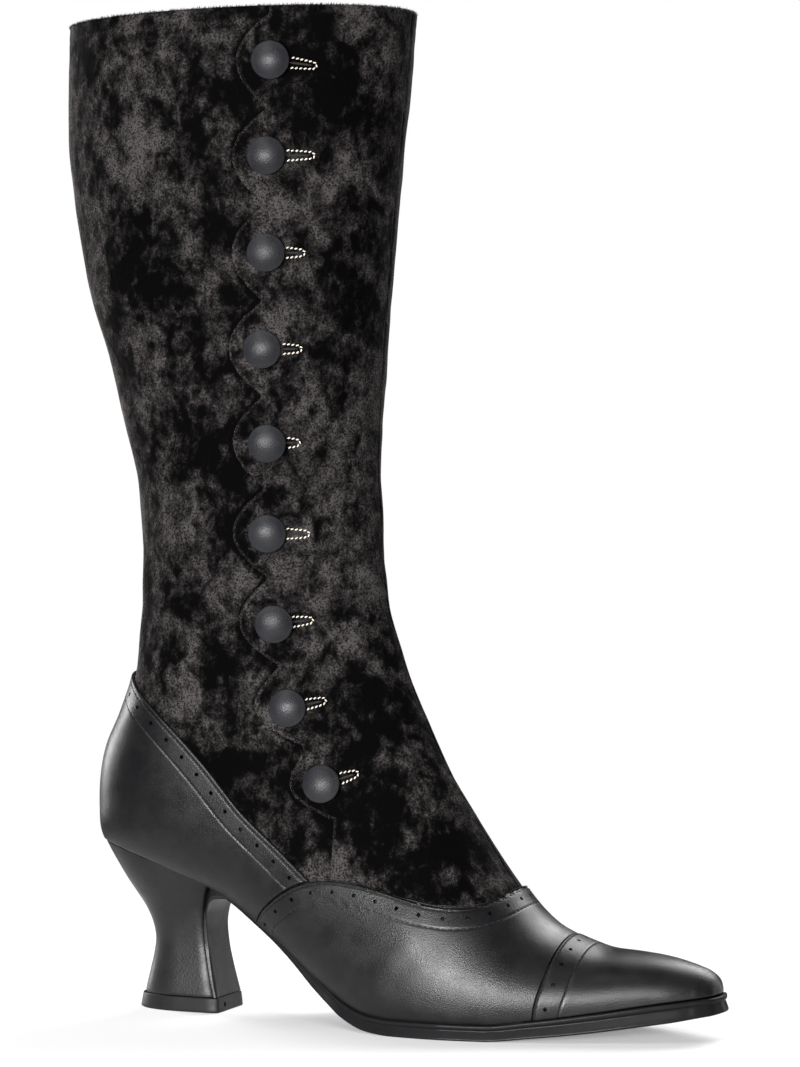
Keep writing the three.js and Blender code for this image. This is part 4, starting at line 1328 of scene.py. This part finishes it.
def scallop_points():
    """A lobe behind each button and a notch between each two, as x and z."""
    between_x = (button_x[1:] + button_x[:-1]) / 2 - NOTCH_SET_BACK * FOOT_LENGTH
    between_z = (button_z[1:] + button_z[:-1]) / 2
    corner = (FLAP_CORNER[0] * FOOT_LENGTH, HEEL_HEIGHT + FLAP_CORNER[1] * SHAFT_HEIGHT)
    notch_x = np.concatenate([[button_x[0]], between_x, [corner[0]]])
    notch_z = np.concatenate([[2 * button_z[0] - between_z[0]], between_z, [corner[1]]])
    t = (1 - np.cos(np.linspace(0, PI, 60))) / 2
    points = []
    for i, middle in enumerate(button_x):
        chord = lerp(notch_x[i], notch_x[i + 1], t)
        depth = chord - (middle - LOBE_REACH)
        x = chord - depth * np.sin(PI * t) ** LOBE_ROUNDNESS
        z = lerp(notch_z[i], notch_z[i + 1], t)
        points.append(np.stack([x, z], axis=-1)[(1 if i else 0):])
    return np.concatenate(points)


def softened(line, spread=1.7, step=0.25, reach=10):
    """A flat line with its corners rounded."""
    along = running_length(line)
    even = np.linspace(0, along[-1], int(along[-1] / step))
    weights = np.exp(-((np.arange(-reach, reach + 1) * step / spread) ** 2))
    weights = weights / weights.sum()
    values = [np.pad(np.interp(even, along, line[:, axis]), reach, "edge") for axis in (0, 1)]
    return np.stack([np.convolve(value, weights, "valid") for value in values], axis=-1)


def flap_edge():
    """The scalloped edge of the flap, with a straight run from its last corner down to the vamp."""
    edge = softened(scallop_points())
    corner_x = edge[-1, 0]
    edge = edge[edge[:, 1] < collar_line(edge[:, 0]) - 1.0]
    side_x = np.concatenate([[edge[0, 0]], edge[:, 0], np.full(40, corner_x)])
    foot_z = float(vamp_line(corner_x)) + GAP
    side_z = np.concatenate([
        [float(collar_line(edge[0, 0])) - 0.3], edge[:, 1], np.linspace(edge[-1, 1], foot_z, 41)[1:]])
    return surface_spots(side_x, side_z)


def build_flap():
    left = flap_edge()
    top_turns = np.linspace(left[0, 1], 0, 200)
    top = spots(collar_row(top_turns, 0.3), top_turns)
    bottom_turns = np.linspace(left[-1, 1], 0, 200)
    bottom = spots(vamp_row(bottom_turns, GAP + 0.15), bottom_turns)
    right = spots(np.linspace(top[-1, 0], bottom[-1, 0], 300), 0)
    patch = coons(evenly(left, 520, CLOSE), evenly(right, 520, CLOSE), evenly(top, 80), evenly(bottom, 80))
    by_scallop = (0, 0.1, 0.25, 0.45, 0.7, 1.0, 1.4, 1.9, 2.5)
    patch = spread_rows(patch.transpose(1, 0, 2), 70, by_scallop, CLOSE)
    row, turn = patch[..., 0], patch[..., 1]
    base = off_form(row, turn, GAP)
    scallop = Nearest(dense(left, 0.12))(base)
    border = Nearest(dense(joined(left, bottom, right[::-1], top[::-1]), 0.12))(base)
    edge = 0.25 * hump(scallop, 1.0, 1.0) - 0.3 * hump(scallop, 0.5, 2.1)
    soft = 0.75 * velvet_relief(row, turn) * smoothstep(border, 0, 4)
    hem = collar_band(collar_line(base[..., 0]) - base[..., 2]) * smoothstep(scallop, 1, 4)
    thick = flap_thickness(turn) + edge + soft + hem
    outer = off_form(row, turn, GAP + thick * rounded(border, 0.8))
    # painted sheen along the flap's rolled scalloped edge, and painted light and shade from the zones
    masks = {"painted_fold_sheen": 0.55 * hump(scallop, 0.45, 0.7), "painted_light_and_shade": painted_nap_light(row, turn)}
    return add_shell("flap_velvet", outer, base, [velvet], masks, sharp=50)


# Buttons and buttonholes
BUTTON_RADIUS = BUTTON_DIAMETER / 2
# radius and height of the shank and the button's back
BUTTON_BACK = [
    (0.0, 0.0), (2.0, 0.0), (2.45, 0.15), (2.5, 0.5), (2.55, 1.0), (4.4, 1.15), (5.8, 1.2), (6.6, 1.35),
]
ROLL_RADIUS = 0.55
ROLL_HEIGHT = 1.9
DOME_RADIUS = BUTTON_RADIUS - 0.62
DOME_FOOT = 2.42
DOME_RISE = 3.25
HOLE_STITCH = {"pitch": 1.62, "length": 1.25}
HOLE_STITCH_RADIUS = 0.28
HOLE_SLANT = math.radians(26)
# half the width of a buttonhole's loop, by the button and at its round end
LOOP_FOOT = 1.95
LOOP_END = 1.15
LOOP_ROUND = 1.2
SLIT_RADIUS = 0.42
button_spots = surface_spots(button_x, button_z)


def dome_height(radius):
    return DOME_RISE * (1 - (radius / BUTTON_RADIUS) ** 2) ** 0.8


def button_profile():
    """Radius and height of a covered button: a domed face over a rolled edge, on a short shank."""
    roll = np.radians([-60, -35, -10, 15, 40, 60])
    edge = zip(BUTTON_RADIUS + ROLL_RADIUS * (np.cos(roll) - 1), ROLL_HEIGHT + ROLL_RADIUS * np.sin(roll))
    radii = DOME_RADIUS * (1 - np.arange(1, 15) / 14)
    face = zip(radii, DOME_FOOT + dome_height(radii) - dome_height(DOME_RADIUS))
    return [*BUTTON_BACK, *edge, *face]


def build_button(i):
    row, turn = button_spots[i]
    normal = normal_at(row, turn)
    foot = off_form(row, turn, 2 * GAP + flap_thickness(turn))
    side, other = plane_across(normal, np.cross(UP, normal))
    rings = np.array([circle(foot + normal * height, r, side, other, 56) for r, height in button_profile()])
    faces = rings_faces(*rings.shape[:2], closed_ends=False)
    return add_piece("button_%d_cover" % (i + 1), rings.reshape(-1, 3), faces, [button_cover],
                     weld=0.01, sharp=35)


def beside_button(i, ahead, up=0.0):
    """Rows and turns of places ahead of a button, on its buttonhole's rise, and this far above it."""
    slope = BUTTONS["rise"][i] / BUTTONS["reach"][i]
    return surface_spots(button_x[i] + ahead - up * slope, button_z[i] + up + ahead * slope)


def build_buttonholes():
    """Twisted stitches round the end of each buttonhole, ahead of its button."""
    lines = []
    for i, reach in enumerate(BUTTONS["reach"]):
        begin, bend = BUTTON_RADIUS - 1.0, reach - LOOP_ROUND
        along = np.linspace(begin, bend, 30)
        half = lerp(LOOP_FOOT, LOOP_END, ((along - begin) / (reach - begin)) ** 1.3)
        turn = np.linspace(-PI / 2, PI / 2, 12)[1:-1]
        ahead = np.concatenate([along, bend + LOOP_ROUND * np.cos(turn), along[::-1]])
        up = np.concatenate([-half, LOOP_END * np.sin(turn), half[::-1]])
        line = beside_button(i, ahead, up)
        lines.append(stitch_line(line, distance=GAP + flap_thickness(line[15, 1]) + 0.22, **HOLE_STITCH))
    return add_stitches("buttonhole_stitches", *map(np.concatenate, zip(*lines)), HOLE_STITCH_RADIUS,
                        cream_thread, slant=HOLE_SLANT)


def build_hole_slits():
    """A near-black strand in each buttonhole, between its stitches: painted shadow in the slit."""
    slits = []
    for i, reach in enumerate(BUTTONS["reach"]):
        line = beside_button(i, np.array([BUTTON_RADIUS - 1.5, reach - 1.5]))
        (start, end), normals = frames_at(line, GAP + flap_thickness(line[0, 1]) - 0.02)
        slits.append((start, end, normals[0]))
    return add_stitches("buttonhole_slits", *zip(*slits), SLIT_RADIUS, painted_slit_shadow)


# Collar fuzz
FIBRES = 5200
FIBRE_RADIUS = 0.11


def build_fuzz():
    """Short fibres that stand off the velvet's edge at the collar."""
    random = np.random.RandomState(5)
    turns = random.rand(FIBRES) * 2 * PI
    rows = collar_row(turns, WALL / 2)
    depth = random.rand(FIBRES)
    rim = WALL / 2 * np.sqrt(np.clip(1 - (2 * depth - 1) ** 2, 0, 1))
    foot = off_form(rows, turns, -WALL * depth + 0.15) + UP * rim[:, None] * 0.92
    lean = (random.rand(FIBRES, 3) - 0.5) * 1.3
    way = UP + normal_at(rows, turns) * (1.0 - 1.6 * depth)[:, None] + lean
    way /= np.linalg.norm(way, axis=1, keepdims=True)
    length = 0.5 + 0.9 * random.rand(FIBRES) ** 2
    points, faces = [], []
    for base, direction, size, spin in zip(foot, way, length, random.rand(FIBRES)):
        side, other = plane_across(
            direction, np.cross(direction, [math.cos(spin * 7), math.sin(spin * 7), 0.3]))
        a = len(points)
        points.extend(circle(base, FIBRE_RADIUS, side, other, 3))
        points.append(base + direction * size)
        faces += [[a, a + 1, a + 3], [a + 1, a + 2, a + 3], [a + 2, a, a + 3], [a + 2, a + 1, a]]
    return add_piece("collar_fuzz", np.array(points), faces, [velvet], weld=0, sharp=80)


# Sole
def foot_outline(count):
    """The feather line from the sole's back end on the outer side, round the toe, to the inner side."""
    start = SOLE_START * FOOT_LENGTH + GAP
    first = feather_rows(lambda row, turn: on_form(row, turn)[..., 0] - start, 8.0, BACK_ROW - 0.05)
    path = joined(feather(first[1], -1, 1, 500), feather(-1, first[-1], -1, 500))
    points = on_form(*path.T)[:, :2]
    along = running_length(points)
    return resampled(points, along, np.linspace(0, along[-1], count))


def smoothed(values, passes):
    for _ in range(passes):
        values[1:-1] = 0.5 * values[1:-1] + 0.25 * (values[:-2] + values[2:])
    return values


# Strips across the sole and its end, and the sole's side as shares of its reach and thickness: a lip, a
# groove and the slanted edge under it
ACROSS = 14
SOLE_SIDE = [
    (0.30, 0.0), (0.62, 0.0), (0.76, 0.012), (0.83, 0.05), (0.85, 0.1), (0.85, 0.2), (0.83, 0.25),
    (0.74, 0.29), (0.68, 0.32), (0.665, 0.35), (0.69, 0.4), (0.76, 0.5), (0.85, 0.64), (0.93, 0.77),
    (0.985, 0.87), (1.0, 0.91), (0.99, 0.945), (0.95, 0.975), (0.88, 0.995), (0.78, 1.0),
]


def build_outsole():
    count = 420
    outline = foot_outline(count)
    along = np.gradient(outline, axis=0)
    along /= np.linalg.norm(along, axis=1, keepdims=True)
    outward = np.stack([along[:, 1], -along[:, 0]], axis=-1)
    if outward[count // 2, 0] < 0:
        outward = -outward
    outward = smoothed(outward, 6)
    outward /= np.linalg.norm(outward, axis=1, keepdims=True)
    x = outline[:, 0]
    rings = []
    for reach, down in SOLE_SIDE:
        flat = outline + outward * (reach * sole_overhang(x))[:, None]
        z = seat_line(x) - GAP - down * (sole_thickness(x) - GAP)
        rings.append(np.concatenate([flat, z[:, None]], axis=1))
    half = count // 2
    top, bottom = (strips(ring[:half], ring[::-1][:half], ACROSS) for ring in (rings[0], rings[-1]))
    top[..., 2] = seat_line(top[..., 0]) - GAP
    side = np.stack(rings, axis=1)
    end = strips(side[0], side[-1], ACROSS)
    points, faces, looks = [], [], []
    for part, look in ((side, 0), (top, 0), (bottom, 1), (end, 0)):
        first = len(points)
        part_faces = grid_faces(first + np.arange(part[..., 0].size).reshape(part.shape[:2]))
        faces += part_faces.tolist()
        looks += [look] * len(part_faces)
        points.extend(part.reshape(-1, 3))
    return add_piece("outsole_rubber", np.array(points), faces, [sole_edge_look, tread],
                     face_looks=looks, weld=0.02, sharp=50)


# Heel
heel_back = Curve(HEEL["at"] * HEEL_HEIGHT, HEEL["back"] * FOOT_LENGTH)
heel_front = Curve(HEEL["at"] * HEEL_HEIGHT, HEEL["front"] * FOOT_LENGTH)
SEAT_SPOT = 0.08 * FOOT_LENGTH


def seat_side(side):
    """y of the sole line on one side, where the heel's seat is measured."""
    points = on_form(*feather(14.0, BACK_ROW - 0.02, side, 200).T)
    return np.interp(-SEAT_SPOT, -points[:, 0], points[:, 1])


seat_half = (seat_side(-1) - seat_side(1)) / 2
heel_half = Curve(HEEL["at"] * HEEL_HEIGHT, HEEL["half"] * seat_half)
breast_front = Curve(BREAST["at"] * HEEL_HEIGHT, BREAST["front"] * FOOT_LENGTH, True)
breast_half = Curve(BREAST["at"] * HEEL_HEIGHT, BREAST["half"] * seat_half, True)
HEEL_BOTTOM = TOP_PIECE + GAP
BACK_SHARE = 0.56
BACK_FULLNESS = 0.88
CORNER = 0.86
# the heel's height without its top piece, about, the depth of the groove under its seat, and how far down
# the groove's rings of points are
HEEL_SPAN = 60
SEAT_GROOVE = 1.2
SEAT_GROOVE_DOWN = (2.1, 1.95, 1.8, 1.65, 1.5, 1.3)


def heel_section():
    """The heel from above: a round back and a flat breast with small round corners, both from 0 to 1."""
    angles = np.linspace(0, PI, 65)
    back = np.stack([BACK_SHARE * (1 - np.sin(angles) ** BACK_FULLNESS), np.cos(angles)], axis=-1)
    turn = np.linspace(0, PI / 2, 10)
    corner = CORNER + (1 - CORNER) * np.stack([np.sin(turn), np.cos(turn)], axis=-1)
    flank = np.stack([np.linspace(BACK_SHARE, CORNER, 10)[1:-1], np.ones(8)], axis=-1)
    front = np.stack([np.ones(14), np.linspace(-CORNER, CORNER, 16)[1:-1]], axis=-1)
    outer = np.concatenate([flank, corner])
    return np.concatenate([back, outer * [1, -1], front, outer[::-1]])


def build_heel():
    """The covered heel, with a groove under its seat and its lower end rounded."""
    section = heel_section()
    grooved = 1 - np.array([*SEAT_GROOVE_DOWN, 0.0]) / HEEL_SPAN
    shares = np.concatenate([np.linspace(0, 0.96, 82), grooved])

    def under_seat(height):
        return seat_line(lerp(heel_back(height), heel_front(height), section[:, 0])) - GAP - height

    top = solve(under_seat, 20, 75)
    rings = []
    for share in shares:
        height = lerp(HEEL_BOTTOM, top, share)
        x = lerp(heel_back(height), heel_front(height), section[:, 0])
        rings.append(np.stack([x, section[:, 1] * heel_half(height), height], axis=-1))
    rings = np.stack(rings)
    toward = rings.mean(axis=1, keepdims=True) - rings
    toward[..., 2] = 0
    toward /= np.linalg.norm(toward, axis=-1, keepdims=True)
    foot_round = hump(shares * HEEL_SPAN, 0.45)
    inward = SEAT_GROOVE * smoothstep((shares - 1) * HEEL_SPAN, -2.0, -1.5) + 0.3 * foot_round
    rings = rings + toward * inward[:, None, None]
    levels, around = rings.shape[:2]
    faces = rings_faces(levels, around, closed_ends=False)
    bottom_hub, top_hub = rings[0].mean(axis=0), rings[-1].mean(axis=0)
    top_hub[2] = float(seat_line(top_hub[0])) - GAP
    for first, hub in ((0, levels * around), ((levels - 1) * around, levels * around + 1)):
        faces += [[first + i, first + (i + 1) % around, hub] for i in range(around)]
    # painted highlight along the heel's rounded foot
    masks = {"edge": np.concatenate([np.repeat(0.5 * foot_round, around), [0, 0]])}
    points = np.concatenate([rings.reshape(-1, 3), [bottom_hub, top_hub]])
    return add_piece("heel_cover", points, faces, [heel_leather], masks=masks, sharp=50)


# The breast's corners, and the rolled edge that stands above its face
BREAST_CORNER = 1.5
BREAST_ROLL = 0.32


def breast_ring(front, back, half):
    """A section of the breast, from its back face round to its front, at places of x and z."""
    depth = np.linalg.norm(front - back)
    outward = (front - back) / max(depth, 1e-6)
    radius = min(BREAST_CORNER, depth * 0.75)
    arc = np.linspace(0, PI / 2, 9)
    corner = [
        (front - outward * radius * (1 - math.sin(angle)), half - radius * (1 - math.cos(angle)))
        for angle in arc
    ]
    ring = [(back, -half), (back, half), *corner]
    for y in np.linspace(half - radius, radius - half, 26)[1:-1]:
        ring.append((front - outward * BREAST_ROLL * (1 - hump(half - abs(y) - radius, 1.1)), y))
    ring += [(place, -y) for place, y in corner[::-1]]
    return [[place[0], y, place[1]] for place, y in ring]


def build_breast():
    """The leather on the heel's front. It has a rolled edge and turns forward under the sole's waist."""
    bend, end = 0.6 * HEEL_HEIGHT, 0.669 * HEEL_HEIGHT
    heights = np.concatenate([np.linspace(HEEL_BOTTOM, bend, 50), np.linspace(bend, end, 40)[1:]])
    front = np.stack([breast_front(heights), heights], axis=-1)
    along = running_length(front)
    wanted = np.linspace(0, along[-1], 100)
    front = resampled(front, along, wanted)
    meet = float(solve(lambda z: seat_line(heel_front(z) + GAP) - GAP - z, 30.0, 70.0))
    back_heights = np.linspace(HEEL_BOTTOM, meet, 60)
    seat_x = np.linspace(float(heel_front(meet)) + GAP, SOLE_START * FOOT_LENGTH, 20)[1:]
    back = np.concatenate([
        np.stack([heel_front(back_heights) + GAP, back_heights], axis=-1),
        np.stack([seat_x, seat_line(seat_x) - GAP], axis=-1),
    ])
    along = running_length(back)
    # the back's corner under the seat lies behind the front's bend
    bend_at = float(np.interp(bend, front[:, 1], wanted))
    corner_at = along[len(back_heights) - 1]
    matching = np.interp(wanted, [0, bend_at, wanted[-1]], [0, corner_at * 0.93, along[-1]])
    back = resampled(back, along, matching)
    rings = np.array([breast_ring(*places) for places in zip(front, back, breast_half(front[:, 1]))])
    return add_rings("heel_breast_leather", rings, [heel_leather], weld=0.005, sharp=60)


# The top piece: heights as shares of its own, and how far it stands out from the heel there
TOP_PIECE_SIDE = [
    (0, 1.35), (0.02, 1.62), (0.06, 1.85), (0.12, 1.95), (0.3, 1.75), (0.6, 1.4), (0.88, 1.05),
    (0.95, 0.95), (0.985, 0.8), (1, 0.6),
]
# the nail hole, at y and z
NAIL_RADIUS = 0.95
NAIL_PLACE = (-5.2, 2.7)


def build_top_piece():
    """The rubber piece that the heel stands on, with a nail hole in its front."""
    section = heel_section()
    rings = []
    for at, grown in TOP_PIECE_SIDE:
        back = heel_back(HEEL_BOTTOM) - grown
        front = breast_front(HEEL_BOTTOM) + 0.4 * grown
        half = heel_half(HEEL_BOTTOM) + 0.5 * grown
        x = lerp(back, front, section[:, 0])
        rings.append(np.stack([x, section[:, 1] * half, np.full(len(x), at * TOP_PIECE)], axis=-1))
    piece = add_rings("top_piece_rubber", np.array(rings), [rubber])
    face_x = float(breast_front(HEEL_BOTTOM)) + 0.4
    drill = np.array([
        circle(np.array([face_x + ahead, *NAIL_PLACE]), NAIL_RADIUS, np.array([0, 1.0, 0]), UP, 24)
        for ahead in (-1.8, 1.6)
    ])
    cut(piece, add_rings("nail_drill", drill, [], weld=0))
    return piece


def build_insole():
    """The sheet under the foot, inside the wall."""
    left, right = (
        off_form(*feather(BACK_ROW - 0.02, 0.4, side, 300)[::4].T, -WALL - GAP) for side in (1, -1))
    low = strips(left, right, 20)
    low[..., 2] = seat_line(low[..., 0])
    shares = np.linspace(0, 1, 20)
    edge = np.minimum(shares, 1 - shares) * np.linalg.norm(right - left, axis=1)[:, None]
    high = low.copy()
    high[..., 2] += INSOLE_BOARD * (0.6 + 0.4 * rounded(edge, 1.5))
    rings = np.concatenate([low, high[:, ::-1]], axis=1)
    return add_rings("insole_sheet", rings, [insole_look], sharp=50)


def mount(piece, slot, *nodes):
    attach(piece, BODY)
    if nodes:
        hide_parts(*nodes)


mount(build_upper(), "velvet", "upper")
mount(build_flap(), "velvet", "button_flap")
for leather_node, build_panel, holes_at in (
    ("vamp", vamp_panel, 4.0), ("toe_cap", cap_panel, 4.4), ("counter", counter_panel, 4.6)
):
    leather_panel = build_panel()
    leather_piece = leather_panel.build(leather_node + "_leather")
    punch(leather_piece, leather_panel, holes_at)
    mount(leather_piece, "leather", leather_node)
    mount(sew(leather_node + "_stitches", leather_panel), "leather")
for number in range(len(button_x)):
    mount(build_button(number), "button", "button_%d" % (number + 1))
mount(build_buttonholes(), "velvet")
mount(build_hole_slits(), "velvet")
mount(build_fuzz(), "velvet")
mount(build_outsole(), "sole", "outsole")
mount(build_heel(), "leather", "heel")
mount(build_breast(), "leather", "heel_breast")
mount(build_top_piece(), "rubber", "top_piece")
mount(build_insole(), "insole", "insole")


# Floor, light and camera, in metres
FLOOR_SHADE = 0.68
FLOOR_GLOW = 0.22
FLOOR_FADE = (0.17, 0.36)
FLOOR_HALF = 0.6


def add_floor():
    """A pale floor round the boot, which fades into the white of the background."""
    look = Look("floor", Roughness=0.7, Specular_IOR_Level=0.15, Emission_Strength=FLOOR_GLOW,
                Base_Color=(FLOOR_SHADE, FLOOR_SHADE, FLOOR_SHADE, 1), Emission_Color=(1, 1, 1, 1))
    look.normal(look.bump(look.noise(3, 2, 0.5), 0.05, 0.1))
    away = look.node("ShaderNodeVectorMath", operation="LENGTH")
    look.link(look.place, away.inputs[0])
    look.link(look.between(away.outputs["Value"], *FLOOR_FADE, 1.0, 0.0), look.shader.inputs["Alpha"])
    mesh = bpy.data.meshes.new("floor")
    corners = [(x * FLOOR_HALF, y * FLOOR_HALF, 0) for x, y in ((-1, -1), (1, -1), (1, 1), (-1, 1))]
    mesh.from_pydata(corners, [], [(0, 1, 2, 3)])
    mesh.materials.append(look.material)
    floor = bpy.data.objects.new("floor", mesh)
    bpy.context.scene.collection.objects.link(floor)


# Each light's place, width, height and watts. All of them look at the boot's middle
LIGHTS = {
    "key": ((-0.35, -0.9, 1.6), 1.0, 1.0, 10),
    "front": ((0.12, -1.72, 0.26), 1.05, 0.45, 80),
    "fill": ((0.68, -1.42, 0.8), 0.5, 0.3, 3),
    "left_rim": ((-1.15, 0.35, 0.55), 0.35, 1.2, 16),
    "right_rim": ((0.85, 1.15, 0.45), 0.4, 1.0, 4),
    "top": ((0.35, 1.15, 1.15), 1.0, 1.0, 28),
}
BOOT_MIDDLE = Vector((0, 0, 0.14))


def add_light(name, place, width, height, power):
    """A white area light that looks at the boot's middle."""
    data = bpy.data.lights.new(name, "AREA")
    data.shape = "RECTANGLE"
    data.size, data.size_y = width, height
    data.energy = power
    light = bpy.data.objects.new(name, data)
    light.location = place
    light.rotation_euler = (BOOT_MIDDLE - Vector(place)).to_track_quat("-Z", "Y").to_euler()
    bpy.context.scene.collection.objects.link(light)


def add_world(seen, strength):
    """White behind the boot, and dimmer where it only lights it."""
    world = bpy.data.worlds.new("studio")
    world.use_nodes = True
    nodes, links = world.node_tree.nodes, world.node_tree.links
    path = nodes.new("ShaderNodeLightPath")
    level = nodes.new("ShaderNodeMapRange")
    links.new(path.outputs["Is Camera Ray"], level.inputs["Value"])
    level.inputs["To Min"].default_value = strength
    level.inputs["To Max"].default_value = seen
    nodes["Background"].inputs["Color"].default_value = (1, 1, 1, 1)
    links.new(level.outputs["Result"], nodes["Background"].inputs["Strength"])
    bpy.context.scene.world = world


CAMERA_PLACE = (0.5113, -1.2522, 0.220)
CAMERA_AZIMUTH = math.radians(22)
CAMERA_PITCH = math.radians(1.364)
CAMERA_LENS = 118.8


def add_camera():
    """The photograph's view: from the outer side, a little ahead of square, at mid height."""
    data = bpy.data.cameras.new("camera")
    data.sensor_width = 36
    data.lens = CAMERA_LENS
    data.clip_end = 60
    camera = bpy.data.objects.new("camera", data)
    camera.location = CAMERA_PLACE
    level = math.cos(CAMERA_PITCH)
    ahead = (-math.sin(CAMERA_AZIMUTH) * level, math.cos(CAMERA_AZIMUTH) * level, -math.sin(CAMERA_PITCH))
    camera.rotation_euler = Vector(ahead).to_track_quat("-Z", "Y").to_euler()
    bpy.context.scene.collection.objects.link(camera)
    bpy.context.scene.camera = camera


add_floor()
add_world(seen=1.0, strength=0.08)
for light_name, settings in LIGHTS.items():
    add_light(light_name, *settings)
add_camera()
bpy.context.scene.view_settings.view_transform = "Standard"
